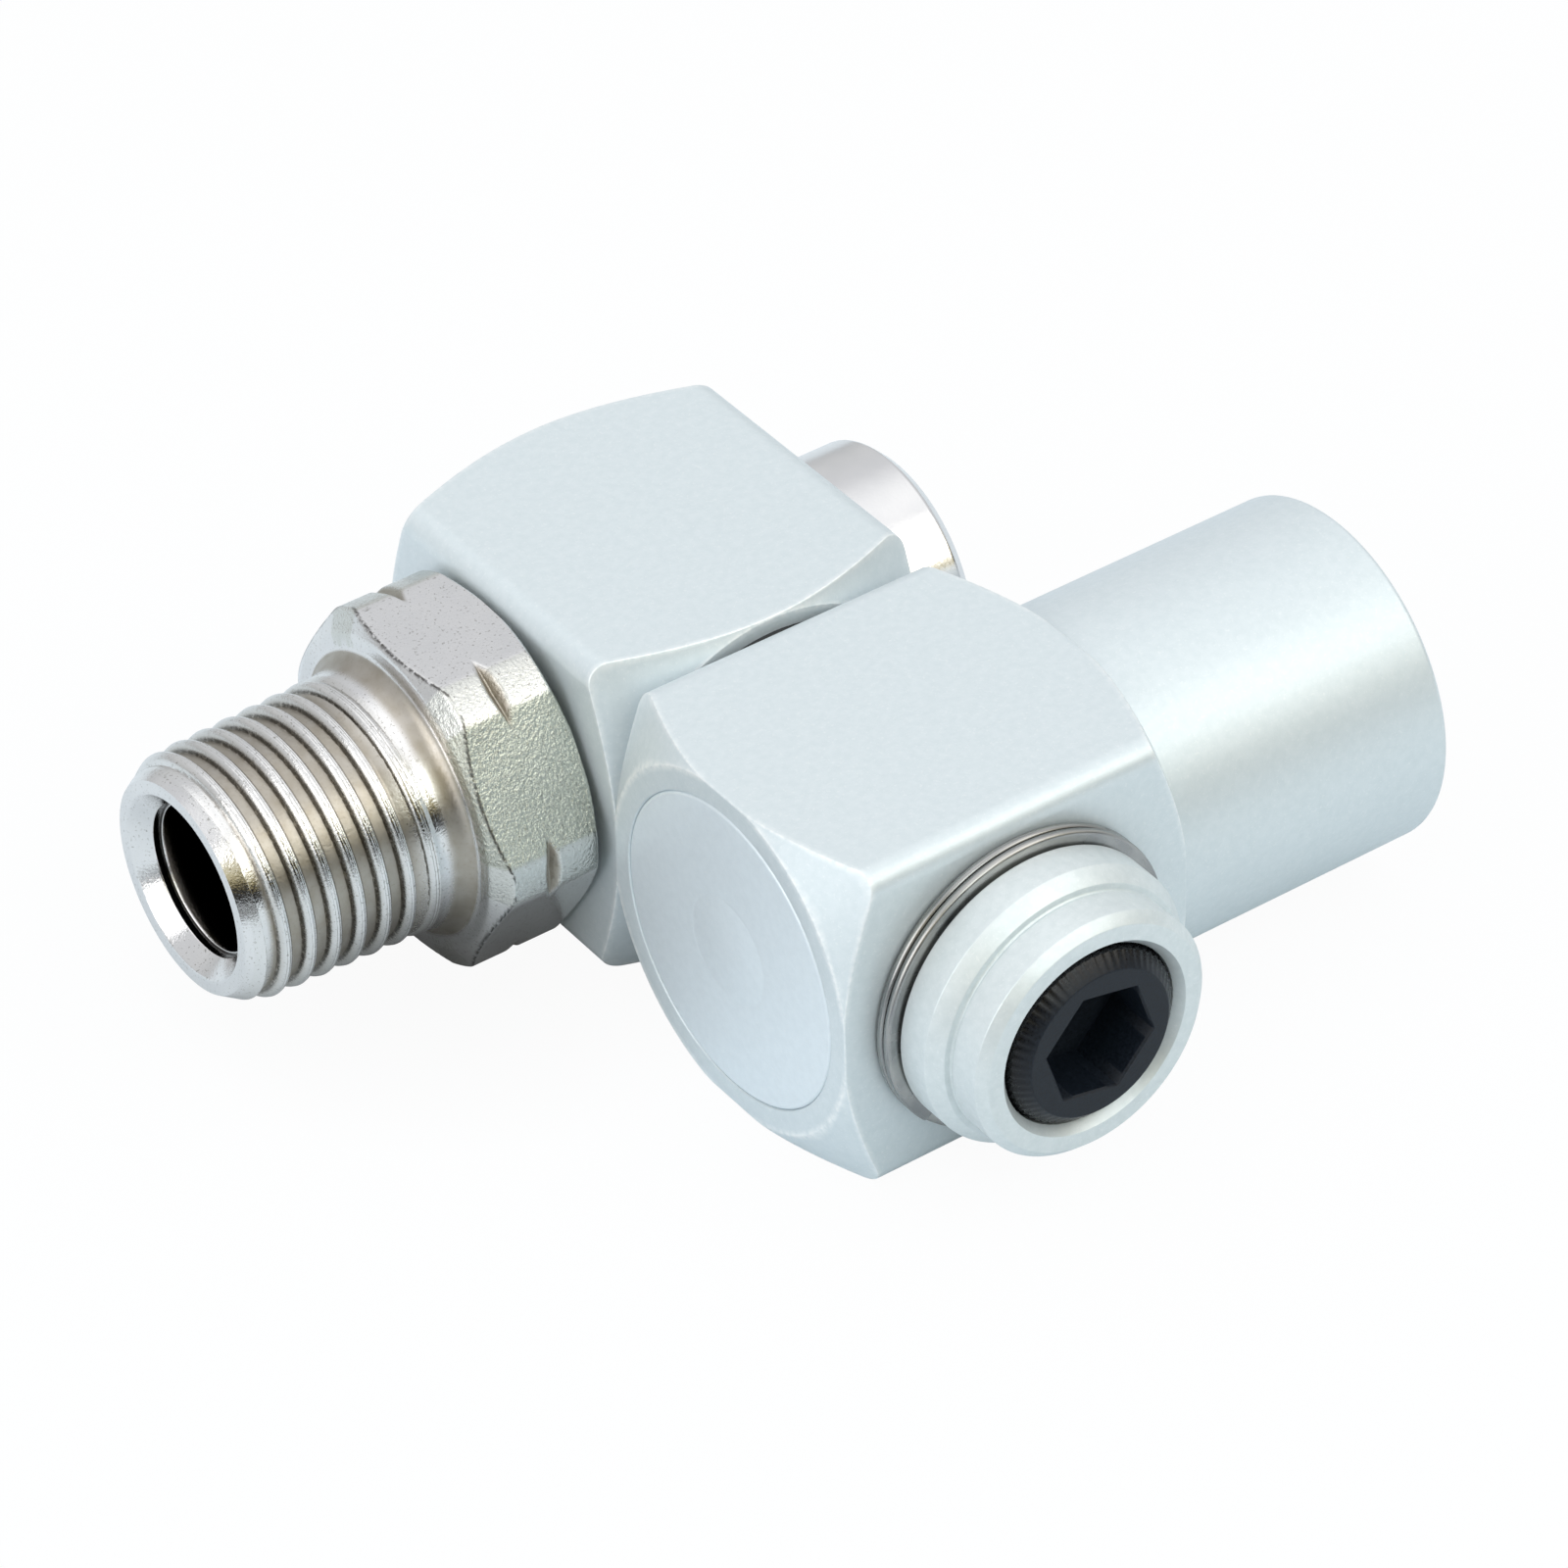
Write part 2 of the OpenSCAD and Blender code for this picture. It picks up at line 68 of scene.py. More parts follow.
inlet_low, inlet_high = node_box("inlet_block")
outlet_low, outlet_high = node_box("outlet_block")
stem_low, stem_high = node_box("swivel_stem")
ring_low, ring_high = node_box("retaining_ring")
plug_low, plug_high = node_box("end_plug")
cap_low, cap_high = node_box("nipple_cap")
screw_low, screw_high = node_box("flow_screw")

BAR_HALF = inlet_high[2]
STEM_X = (stem_low[0] + stem_high[0]) / 2
NIPPLE_Y = (inlet_low[1] + inlet_high[1]) / 2
STEM_R = (stem_high[0] - stem_low[0]) / 2
RING_R = (ring_high[0] - ring_low[0]) / 2
PLUG_R = (plug_high[1] - plug_low[1]) / 2
CAP_R = (cap_high[1] - cap_low[1]) / 2
SCREW_R = (screw_high[0] - screw_low[0]) / 2
MOUTH_X = outlet_high[0]
TIP_X = node_box("inlet_nipple")[0][0]

# Centres of the three axes that pieces are turned round
PORT_CENTRE = (0, 0, 0)
STEM_CENTRE = (STEM_X, 0, 0)
NIPPLE_CENTRE = (0, NIPPLE_Y, 0)

# Both blocks
EDGE_R = 1.2 * MM
FINE_EDGE = 0.11 * MM
CONE_ANGLE = math.radians(30)
CONE = math.tan(CONE_ANGLE)
RUNNING_GAP = 0.05 * MM
OVERCUT = 1 * MM

# Outlet block with its tube and port
OUTLET_LAND_R = 9.65 * MM
SHOULDER_X = STEM_X + 10.5 * MM
TUBE_R = 9.25 * MM
PORT_R = 6.85 * MM
PORT_CHAMFER = 0.8 * MM
PORT_DEPTH = 13.7 * MM
PORT_RUNOUT = 2.2 * MM
PORT_THREAD_DEPTH = 0.5 * MM
PORT_THREAD_FADE = 1 * MM
PASSAGE_R = 4.5 * MM
PLUG_DEPTH = 1.6 * MM
STEM_BORE_LEAD = 0.12 * MM
WASHER_RECESS_DEPTH = 0.5 * MM
WASHER_RECESS_R = STEM_R + RUNNING_GAP + 0.9 * MM

# Inlet block
INLET_LAND_R = 9.4 * MM
SPIGOT_HOLE_R = 6.02 * MM
SPINDLE_BORE_LEAD = 0.25 * MM

# Plug's centre mark
MARK_R = 3.0 * MM
MARK_RAMP = 0.1 * MM
MARK_DEPTH = 0.02 * MM
MARK_GROOVE = 0.035 * MM

# Stem's nose and its groove for the ring
GROOVE_NEAR_Y = ring_high[1] + 0.05 * MM
GROOVE_DEPTH = 0.7 * MM
COLLAR_BACK_Y = ring_low[1] - 0.15 * MM
COLLAR_END_Y = COLLAR_BACK_Y - 1.9 * MM
SLOPE_END_Y = COLLAR_END_Y - 0.8 * MM
SLOPE_FALL = 0.6 * MM
NOSE_R = 6.8 * MM
NOSE_CHAMFER = 0.5 * MM
NOSE_LINE = 0.12 * MM
COUNTERBORE_R = 5.02 * MM
COUNTERBORE_RIM = 0.4 * MM
COUNTERBORE_END_Y = stem_low[1] + 8.4 * MM
RIM_DEPTH = 0.5 * MM

# Stem inside the blocks, measured from the port's axis
STEM_EDGE = 0.08 * MM
GALLERY_R = STEM_R - 1.2 * MM
GALLERY_HALF = 4.5 * MM
STEM_SEAL_R = STEM_R - 1.36 * MM
STEM_SEAL_Y = 7.2 * MM
STEM_SEAL_HALF = 0.88 * MM
SPIGOT_R = 6 * MM
AIR_BORE_R = 3.3 * MM
SCREW_BORE_R = 3.05 * MM
SEAT_R = 2 * MM
SEAT_FRONT_Y = 2.6 * MM
SEAT_BACK_Y = 4.8 * MM
CROSS_HOLE_R = 1.8 * MM
CROSS_HOLE_HALF = 10 * MM

# Spiral ring
WIRE_EDGE = 0.22 * MM
WIRE_START = math.radians(228)
WIRE_TURNS = 1.96
WIRE_STEP_AT = 0.9
WIRE_STEP_LEN = 0.14

# Thread of the nipple. A seam is a fine groove in the crest: its place in turns, and its share of the depth
PITCH = 25.4 / 18 * MM
TAPER = 1 / 32
CREST_HALF = 0.28
THREAD_START = 0.15
THREAD_TIP_R = 6.55 * MM
THREAD_DEPTH = 0.52 * MM
THREAD_RUNOUT = 1.5 * MM
CREST_SEAMS = ((-0.045, 1.0), (0.06, 0.7))
SEAM_HALF = 0.022
SEAM_DEPTH = 0.04 * MM
TIP_R = 5.68 * MM
TIP_RISE = 0.62

# Bore of the nipple
SINK_DEPTH = 0.9 * MM
TIP_FACE_R = 5.6 * MM
ENTRY_R = 4.05 * MM
ENTRY_LEN = 0.42 * MM
ENTRY_LIP = 0.14 * MM
ENTRY_END_X = TIP_X + SINK_DEPTH + ENTRY_LEN
NIPPLE_BORE_R = 3.6 * MM
NIPPLE_BORE_END_X = 3 * MM + STEM_X
NIPPLE_DRILL_END_X = 5.1 * MM + STEM_X

# Hexagon and neck of the nipple
HEX_FLAT = 8.8 * MM
HEX_CORNER_R = 9.6 * MM
HEX_TURN = math.radians(2.5)
HEX_LEN = 6.1 * MM
HEX_BACK_X = inlet_low[0] - 0.4 * MM
HEX_FRONT_X = HEX_BACK_X - HEX_LEN
HEX_MIDDLE_X = HEX_BACK_X - HEX_LEN / 2
HEX_LAND_R = 8.45 * MM
HEX_BACK_LAND_R = 8.85 * MM
HEX_NOTCH_R = 9.05 * MM
HEX_NOTCH_RISE = 1.05 * MM
HEX_NOTCH_W = 0.85 * MM
HEX_BLEND = 0.1 * MM
NOTCH_BLEND = 0.12 * MM
FLAT_BLEND = 0.14 * MM
NECK_FACE_R = 7.85 * MM
NECK_LEN = 1.6 * MM
THREAD_END_X = HEX_FRONT_X - NECK_LEN

# Spindle, measured from its block's middle
SPINDLE_R = 5.8 * MM
SPINDLE_GALLERY_R = SPINDLE_R - 0.9 * MM
SPINDLE_GALLERY_HALF = 3.6 * MM
SPINDLE_SEAL_R = SPINDLE_R - 1.16 * MM
SPINDLE_SEAL_X = BAR_HALF - 3.2 * MM
SPINDLE_SEAL_HALF = 0.78 * MM
STUD_R = 4 * MM
STUD_LEN = 3.4 * MM
STUD_GAP = 0.02 * MM

# Screw, with places along it measured from the port's axis
SOCKET_FLAT = 2.78 * MM
SOCKET_TURN = math.radians(42)
SOCKET_DEPTH = 3.2 * MM
SOCKET_CHAMFER = 0.1 * MM
DRILL_POINT = 1.1 * MM
KNURL_DEPTH = 0.09 * MM
KNURL_RIBS = 60
FACE_MARGIN = 1.0 * MM
HEAD_H = 6 * MM
SHANK_R = 3 * MM
SHANK_END_Y = -3.8 * MM
SCREW_SEAL_R = 2.15 * MM
SCREW_SEAL_Y = (-5.3 * MM, -4.2 * MM)
WAIST_R = 1.5 * MM
WAIST_Y = (-3.2 * MM, -1.25 * MM)
NEEDLE_R = 2.4 * MM
NEEDLE_TIP_R = 1 * MM
NEEDLE_Y = (-0.65 * MM, 1.35 * MM)

# Fineness of the meshes, and the distance within which a point counts as on a face
PORT_ROWS = 130
THREAD_ROWS = 430
HEX_ROWS = 80
WIRE_ROWS = 400
NIPPLE_COLUMNS = 330
STEM_COLUMNS = 200
SCREW_COLUMNS = 240
MERGE_DIST = 0.0002 * MM
SHARP_ANGLE = math.radians(38)
ON_FACE = 0.02 * MM


# Meshes
def skin(name, grid, closed_rows=False):
    """A mesh over rows and columns of points. The columns close round, and so do the rows when asked."""
    rows, columns = grid.shape[:2]
    numbers = np.arange(rows * columns).reshape(rows, columns)
    lower = numbers if closed_rows else numbers[:-1]
    upper = np.roll(numbers, -1, 0) if closed_rows else numbers[1:]
    faces = np.stack([lower, np.roll(lower, -1, 1), np.roll(upper, -1, 1), upper], 2).reshape(-1, 4)
    mesh = bpy.data.meshes.new(name)
    mesh.from_pydata(grid.reshape(-1, 3).tolist(), [], faces.tolist())
    work = bmesh.new()
    work.from_mesh(mesh)
    bmesh.ops.remove_doubles(work, verts=work.verts, dist=MERGE_DIST)
    bmesh.ops.dissolve_degenerate(work, edges=work.edges, dist=MERGE_DIST)
    bmesh.ops.recalc_face_normals(work, faces=work.faces)
    work.to_mesh(mesh)
    work.free()
    piece = bpy.data.objects.new(name, mesh)
    bpy.context.scene.collection.objects.link(piece)
    return piece


def apply_modifiers(piece):
    graph = bpy.context.evaluated_depsgraph_get()
    mesh = bpy.data.meshes.new_from_object(piece.evaluated_get(graph))
    piece.modifiers.clear()
    piece.data = mesh


def smooth(piece):
    """Smooth shading that keeps flat faces flat beside their small rounded edges."""
    piece.data.polygons.foreach_set("use_smooth", np.ones(len(piece.data.polygons), bool))
    piece.data.set_sharp_from_angle(angle=SHARP_ANGLE)
    weighted = piece.modifiers.new("weighted", "WEIGHTED_NORMAL")
    weighted.mode = "FACE_AREA"
    weighted.weight = 50
    weighted.keep_sharp = True
    apply_modifiers(piece)


def cut_away(piece, cutters):
    """Cuts each of the cutters out of the piece."""
    for cutter in cutters:
        boolean = piece.modifiers.new("cut", "BOOLEAN")
        boolean.operation = "DIFFERENCE"
        boolean.solver = "EXACT"
        boolean.object = cutter
        apply_modifiers(piece)
        bpy.data.objects.remove(cutter)


def turn(columns, start=0.0):
    """Angles of evenly spaced columns."""
    return start + np.arange(columns) * 2 * math.pi / columns


def on_axis(axis, centre, radius, along, angle):
    """Points at a radius and angle round an axis: X with angles from +Y, or Y with angles from +Z."""
    radius, along, angle = np.broadcast_arrays(radius, along, angle)
    out = np.empty(radius.shape + (3,))
    if axis == "X":
        out[..., 0] = along
        out[..., 1] = centre[1] + radius * np.cos(angle)
        out[..., 2] = centre[2] + radius * np.sin(angle)
    else:
        out[..., 0] = centre[0] + radius * np.sin(angle)
        out[..., 1] = along
        out[..., 2] = centre[2] + radius * np.cos(angle)
    return out


def skin_rows(name, axis, centre, rows, angle, closed_rows=False):
    """A mesh over rows of (radius, place), each one number or one for every column's angle."""
    grid = np.stack([on_axis(axis, centre, radius, along, angle) for radius, along in rows])
    return skin(name, grid, closed_rows)


def corner_arc(before, here, after, fillet, steps):
    """Points of the arc that rounds a corner, which reaches less than halfway to either neighbour."""
    before, after = before - here, after - here
    before_len, after_len = np.linalg.norm(before), np.linalg.norm(after)
    before, after = before / before_len, after / after_len
    half = math.acos(max(-1.0, min(1.0, float(before @ after)))) / 2
    reach = min(fillet / math.tan(half), 0.48 * before_len, 0.48 * after_len)
    radius = reach * math.tan(half)
    middle = here + (before + after) / np.linalg.norm(before + after) * radius / math.sin(half)
    first, last = here + before * reach - middle, here + after * reach - middle
    sweep = math.atan2(first[0] * last[1] - first[1] * last[0], first @ last)
    start = math.atan2(first[1], first[0])
    angles = [start + sweep * step / steps for step in range(steps + 1)]
    return [middle + radius * np.array([math.cos(angle), math.sin(angle)]) for angle in angles]


def rounded(path, steps=4):
    """A path of (radius, place, fillet) with its corners rounded to arcs."""
    points = [np.array(corner[:2]) for corner in path]
    out = []
    for k, (_, _, fillet) in enumerate(path):
        if fillet <= 0 or k in (0, len(path) - 1):
            out.append(points[k])
        else:
            out += corner_arc(points[k - 1], points[k], points[k + 1], fillet, steps)
    return out


def lathe(name, axis, centre, path, columns=160, closed_rows=False):
    return skin_rows(name, axis, centre, rounded(path), turn(columns), closed_rows)


def rod(name, axis, centre, radius, start, end, columns=96):
    path = [(0, start, 0), (radius, start, 0), (radius, end, 0), (0, end, 0)]
    return lathe(name, axis, centre, path, columns)


def groove(radius, floor_r, middle, half_width, fillet=0.0):
    """Outline of a groove in a round wall, the edges of its mouth rounded by a fillet."""
    return [
        (radius, middle - half_width, fillet), (floor_r, middle - half_width, 0),
        (floor_r, middle + half_width, 0), (radius, middle + half_width, fillet),
    ]


def bar_outline(flat_steps=26, corner_steps=10):
    """Radius and angle of points round the square bar with its rounded long edges."""
    inner = BAR_HALF - EDGE_R
    points = []
    for side in range(4):
        c, s = math.cos(side * math.pi / 2), math.sin(side * math.pi / 2)
        local = [(BAR_HALF, -inner + 2 * inner * k / flat_steps) for k in range(flat_steps)]
        for k in range(corner_steps):
            angle = math.pi / 2 * k / corner_steps
            local.append((inner + EDGE_R * math.cos(angle), inner + EDGE_R * math.sin(angle)))
        points += [(x * c - y * s, x * s + y * c) for x, y in local]
    points = np.array(points)
    return np.hypot(points[:, 0], points[:, 1]), np.arctan2(points[:, 1], points[:, 0])


def coned_end(bar_r, end, inward, land_r, steps=5):
    """Rows of (radius, place) over a bar's end, from its flat land over the cone to the long side.

    Each row belongs to one slope of the surface, from flat on the end to square to the side, so the
    two edges are small arcs that meet in one where the cone runs out.
    """
    edge = FINE_EDGE
    land_in = land_r - edge * math.tan(CONE_ANGLE / 2)
    rise = (edge + math.sin(CONE_ANGLE) * (bar_r - edge - land_r)) / math.cos(CONE_ANGLE)
    no_cone = land_in > bar_r - edge
    first = (np.where(no_cone, bar_r - edge, land_in), np.full_like(bar_r, edge))
    second = (bar_r - edge, np.where(no_cone, edge, rise))
    rows = []
    for start, stop, (radius, depth) in ((0, CONE_ANGLE, first), (CONE_ANGLE, math.pi / 2, second)):
        for angle in np.linspace(start, stop, steps):
            along = end + inward * (depth - edge * math.cos(angle))
            rows.append((radius + edge * math.sin(angle), along))
    upper, lower = rows[steps - 1], rows[steps]
    between = [
        tuple(u * (1 - share) + v * share for u, v in zip(upper, lower))
        for share in (0.15, 0.85)
    ]
    beyond = (bar_r, rows[-1][1] + inward * 0.25 * MM)
    return rows[:steps] + between + rows[steps:] + [beyond]


def off_crest(turns):
    """Turns from the nearest crest, -0.5 to 0.5, at a number of turns along a thread."""
    return (turns + 0.5) % 1.0 - 0.5


def thread_wave(turns):
    """Depth of a thread, 0 on its round crest to 1 on the flat root."""
    across = np.minimum(np.abs(off_crest(turns)) / CREST_HALF, 1)
    return 1 - np.sqrt(np.maximum(1 - across**2, 0)) ** 1.2


def soft_min(a, b, width):
    """The smaller of two values, with the corner between them rounded over a width."""
    h = np.clip(0.5 + 0.5 * (b - a) / width, 0, 1)
    return b * (1 - h) + a * h - width * h * (1 - h)


def ramp(value, width):
    """0 up to a value of 0, rising to 1 over a width."""
    return np.clip(value / width, 0, 1)


def from_flat(angle, turned):
    """Angle from the middle of the nearest of a hexagon's flats."""
    return (angle - turned) % (math.pi / 3) - math.pi / 6


def mark(piece, name, rule):
    """Stores a number on each vertex, worked out by rule from the vertices' places."""
    places = np.empty(len(piece.data.vertices) * 3)
    piece.data.vertices.foreach_get("co", places)
    layer = piece.data.attributes.new(name, "FLOAT", "POINT")
    layer.data.foreach_set("value", rule(places.reshape(-1, 3)).astype(np.float32))


def place(piece, body, node):
    """Stands for the CAD node and rides on its body."""
    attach(piece, body)
    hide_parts(node)


# Outlet block
def port_rows(angle):
    """Rows down the female thread, which fades out at both its ends, to the port's floor."""
    start = MOUTH_X - PORT_CHAMFER
    thread_len = PORT_DEPTH - PORT_RUNOUT
    rows = []
    for depth in np.linspace(0, thread_len, PORT_ROWS)[1:]:
        wave = thread_wave(-depth / PITCH - angle / (2 * math.pi))
        fade = ramp(depth, PORT_THREAD_FADE) * ramp(thread_len - depth, PORT_THREAD_FADE)
        wall = PORT_R - depth * TAPER / 2
        rows.append((wall + (wave - 0.5) * PORT_THREAD_DEPTH * fade, start - depth))
    return rows + [(PORT_R, start - PORT_DEPTH), (PASSAGE_R, start - PORT_DEPTH)]


def stem_bore():
    """Cutter for the stem's bore, with its lead-in and the washer's recess at the far side."""
    bore_r = STEM_R + RUNNING_GAP
    near, far = -BAR_HALF, BAR_HALF
    bore = [
        (0, near - OVERCUT, 0), (bore_r + STEM_BORE_LEAD, near - OVERCUT, 0),
        (bore_r + STEM_BORE_LEAD, near, 0), (bore_r, near + STEM_BORE_LEAD, 0),
        (bore_r, far - WASHER_RECESS_DEPTH, 0), (WASHER_RECESS_R, far - WASHER_RECESS_DEPTH, 0),
        (WASHER_RECESS_R, far + OVERCUT, 0), (0, far + OVERCUT, 0),
    ]
    return lathe("bore", "Y", STEM_CENTRE, bore, 180)


def make_outlet_block():
    bar_r, angle = bar_outline()
    left = outlet_low[0]
    recess = [
        (PASSAGE_R, left + PLUG_DEPTH, 0), (PLUG_R, left + PLUG_DEPTH, 0),
        (PLUG_R, left, 0.1 * MM), (OUTLET_LAND_R - 3 * FINE_EDGE, left, 0),
    ]
    tube = [
        (OUTLET_LAND_R - 2 * FINE_EDGE, SHOULDER_X, 0), (TUBE_R, SHOULDER_X, 0.1 * MM),
        (TUBE_R, MOUTH_X, 0.3 * MM), (PORT_R + PORT_CHAMFER, MOUTH_X, 0.08 * MM),
        (PORT_R + 0.1 * MM, MOUTH_X - PORT_CHAMFER, 0),
    ]
    rows = rounded(recess)
    rows += coned_end(bar_r, left, 1, OUTLET_LAND_R)
    rows += coned_end(bar_r, SHOULDER_X, -1, OUTLET_LAND_R)[::-1]
    rows += rounded(tube, 5)
    rows += port_rows(angle)
    piece = skin_rows("outlet_block_body", "X", PORT_CENTRE, rows, angle, closed_rows=True)
    cut_away(piece, [stem_bore()])
    return piece


# Inlet block
def spindle_bore():
    """Cutter for the spindle's bore, with a lead-in at both its mouths."""
    bore_r = SPINDLE_R + RUNNING_GAP
    mouth_r = bore_r + SPINDLE_BORE_LEAD
    left, right = inlet_low[0], inlet_high[0]
    bore = [
        (0, left - OVERCUT, 0), (mouth_r, left - OVERCUT, 0), (mouth_r, left, 0),
        (bore_r, left + SPINDLE_BORE_LEAD, 0), (bore_r, right - SPINDLE_BORE_LEAD, 0),
        (mouth_r, right, 0), (mouth_r, right + OVERCUT, 0), (0, right + OVERCUT, 0),
    ]
    return lathe("spindle_bore", "X", NIPPLE_CENTRE, bore, 120)


def make_inlet_block():
    bar_r, angle = bar_outline()
    near, far = inlet_low[1], inlet_high[1]
    land_r = INLET_LAND_R - 3 * FINE_EDGE
    rows = [(0, near), (land_r, near)]
    rows += coned_end(bar_r, near, 1, INLET_LAND_R)
    rows += coned_end(bar_r, far, -1, INLET_LAND_R)[::-1]
    rows += [(land_r, far), (0, far)]
    piece = skin_rows("inlet_block_body", "Y", STEM_CENTRE, rows, angle)
    spigot_hole = rod("stem_hole", "Y", STEM_CENTRE, SPIGOT_HOLE_R, near - OVERCUT, NIPPLE_Y)
    cut_away(piece, [spindle_bore(), spigot_hole])
    return piece


# Stem
def nose_outline():
    """The stem from its counterbore's rim, round the nose and the collar, to the ring's groove."""
    front = stem_low[1]
    line_r = NOSE_R - NOSE_LINE
    floor_r = STEM_R - GROOVE_DEPTH
    return [
        (COUNTERBORE_R + COUNTERBORE_RIM, front, 0.05 * MM), (NOSE_R - NOSE_CHAMFER, front, 0.1 * MM),
        (NOSE_R, front + NOSE_CHAMFER, 0.12 * MM), (NOSE_R, SLOPE_END_Y - 0.25 * MM, 0.1 * MM),
        (line_r, SLOPE_END_Y - 0.1 * MM, 0.1 * MM), (NOSE_R, SLOPE_END_Y, 0.05 * MM),
        (STEM_R - SLOPE_FALL, SLOPE_END_Y, 0.07 * MM), (STEM_R, COLLAR_END_Y, 0.12 * MM),
        (STEM_R, COLLAR_BACK_Y, 0.12 * MM), (floor_r, COLLAR_BACK_Y, 0), (floor_r, GROOVE_NEAR_Y, 0),
        (STEM_R, GROOVE_NEAR_Y, STEM_EDGE),
    ]


def running_outline():
    """The stem's running part, with a seal groove on both sides of the air gallery."""
    front_seal = groove(STEM_R, STEM_SEAL_R, -STEM_SEAL_Y, STEM_SEAL_HALF, STEM_EDGE)
    gallery = groove(STEM_R, GALLERY_R, 0, GALLERY_HALF, STEM_EDGE)
    rear_seal = groove(STEM_R, STEM_SEAL_R, STEM_SEAL_Y, STEM_SEAL_HALF, STEM_EDGE)
    return front_seal + gallery + rear_seal


def spigot_outline():
    """The stem from its shoulder over the spigot and down its bore to the counterbore's rim."""
    shoulder, end = inlet_low[1], stem_high[1]
    return [
        (STEM_R, shoulder, STEM_EDGE), (SPIGOT_R, shoulder, 0), (SPIGOT_R, end, 0.3 * MM),
        (AIR_BORE_R, end, STEM_EDGE), (AIR_BORE_R, SEAT_BACK_Y, 0), (SEAT_R, SEAT_BACK_Y, 0),
        (SEAT_R, SEAT_FRONT_Y, 0), (SCREW_BORE_R, SEAT_FRONT_Y, 0), (SCREW_BORE_R, COUNTERBORE_END_Y, 0),
        (COUNTERBORE_R, COUNTERBORE_END_Y, 0), (COUNTERBORE_R, stem_low[1] + RIM_DEPTH, 0.05 * MM),
    ]


def make_stem():
    path = nose_outline() + running_outline() + spigot_outline()
    piece = lathe("stem_body", "Y", STEM_CENTRE, path, STEM_COLUMNS, closed_rows=True)
    start, end = STEM_X - CROSS_HOLE_HALF, STEM_X + CROSS_HOLE_HALF
    across, upright = (
        rod(name, "X", STEM_CENTRE, CROSS_HOLE_R, start, end, 48) for name in ("hole_x", "hole_z")
    )
    to_axis = Matrix.Translation((-STEM_X, 0, 0))
    quarter_turn = Matrix.Rotation(math.pi / 2, 4, "Y")
    upright.data.transform(to_axis.inverted() @ quarter_turn @ to_axis)
    cut_away(piece, [across, upright])
    return piece


# Ring, plug and cap
def wire_section(thick):
    """Section of the flat wire as (radius, place), its two outer edges rounded."""
    inner_r = STEM_R - GROOVE_DEPTH + 0.05 * MM
    section = [(inner_r, 0), (inner_r, thick)]
    for side, along in ((1, thick), (-1, 0)):
        for k in range(5):
            angle = math.pi / 2 * (k / 4 if side > 0 else 1 - k / 4)
            radius = RING_R - WIRE_EDGE + WIRE_EDGE * math.sin(angle)
            section.append((radius, along - side * WIRE_EDGE + side * WIRE_EDGE * math.cos(angle)))
    return np.array(section)


def make_ring():
    """Flat wire wound twice round the stem, stepping from one turn to the next."""
    thick = (ring_high[1] - ring_low[1]) / 2
    section = wire_section(thick)
    rows = []
    for turns in np.arange(WIRE_ROWS + 1) / WIRE_ROWS * WIRE_TURNS:
        climb = ramp(turns - WIRE_STEP_AT, WIRE_STEP_LEN)
        along = ring_low[1] + climb * climb * (3 - 2 * climb) * thick + section[:, 1]
        rows.append(on_axis("Y", STEM_CENTRE, section[:, 0], along, WIRE_START + turns * 2 * math.pi))
    caps = [np.tile(row.mean(0), (len(section), 1)) for row in (rows[0], rows[-1])]
    return skin("spiral_ring", np.stack([caps[0], *rows, caps[1]]))


def make_plug():
    left, right = plug_low[0], plug_high[0]
    path = [
        (0, left + MARK_DEPTH, 0), (MARK_R - MARK_RAMP, left + MARK_DEPTH, 0),
        (MARK_R, left + MARK_GROOVE, 0), (MARK_R + MARK_RAMP, left, 0),
        (PLUG_R, left, 0.22 * MM), (PLUG_R, right, 0.1 * MM), (0, right, 0),
    ]
    return lathe("end_disc", "X", PORT_CENTRE, path, 180)


def make_cap():
    left, right = cap_low[0], cap_high[0]
    hollow_r, hollow_end = STUD_R + STUD_GAP, left + STUD_LEN + STUD_GAP
    path = [
        (hollow_r, left, 0), (CAP_R, left, 0.2 * MM), (CAP_R, right - 0.6 * MM, 0.3 * MM),
        (CAP_R - 0.6 * MM, right, 0.2 * MM), (0, right, 0), (0, hollow_end, 0),
        (hollow_r, hollow_end, 0),
    ]
    return lathe("spindle_cap", "X", NIPPLE_CENTRE, path, 160, closed_rows=True)


# Nipple
def hex_limit(x, slant):
    """Radius that the hexagon is turned to at a place along it and an angle from a flat's middle.

    A notch round the middle cuts the corners, deepest on the corner itself.
    """
    front_cone = HEX_LAND_R + (x - HEX_FRONT_X) / CONE
    back_cone = HEX_BACK_LAND_R + (HEX_BACK_X - x) / CONE
    floor_r = HEX_NOTCH_R + HEX_NOTCH_RISE * (math.pi / 6 - np.abs(slant))
    flank = (HEX_CORNER_R - HEX_NOTCH_R) * np.abs(x - HEX_MIDDLE_X) / (HEX_NOTCH_W / 2)
    coned = soft_min(np.minimum(front_cone, back_cone), HEX_CORNER_R, HEX_BLEND)
    return soft_min(coned, floor_r + flank, NOTCH_BLEND)


def thread_turns(x, angle):
    """Turns along the nipple's thread at a place on it, whole numbers on its crests."""
    return (x - TIP_X) / PITCH - angle / (2 * math.pi) + THREAD_START


def thread_share(x, angle):
    """Share of the nipple's thread depth below the crest at a place on it, 0 where it has run out."""
    return thread_wave(thread_turns(x, angle)) * ramp(THREAD_END_X + 0.1 * MM - x, THREAD_RUNOUT)


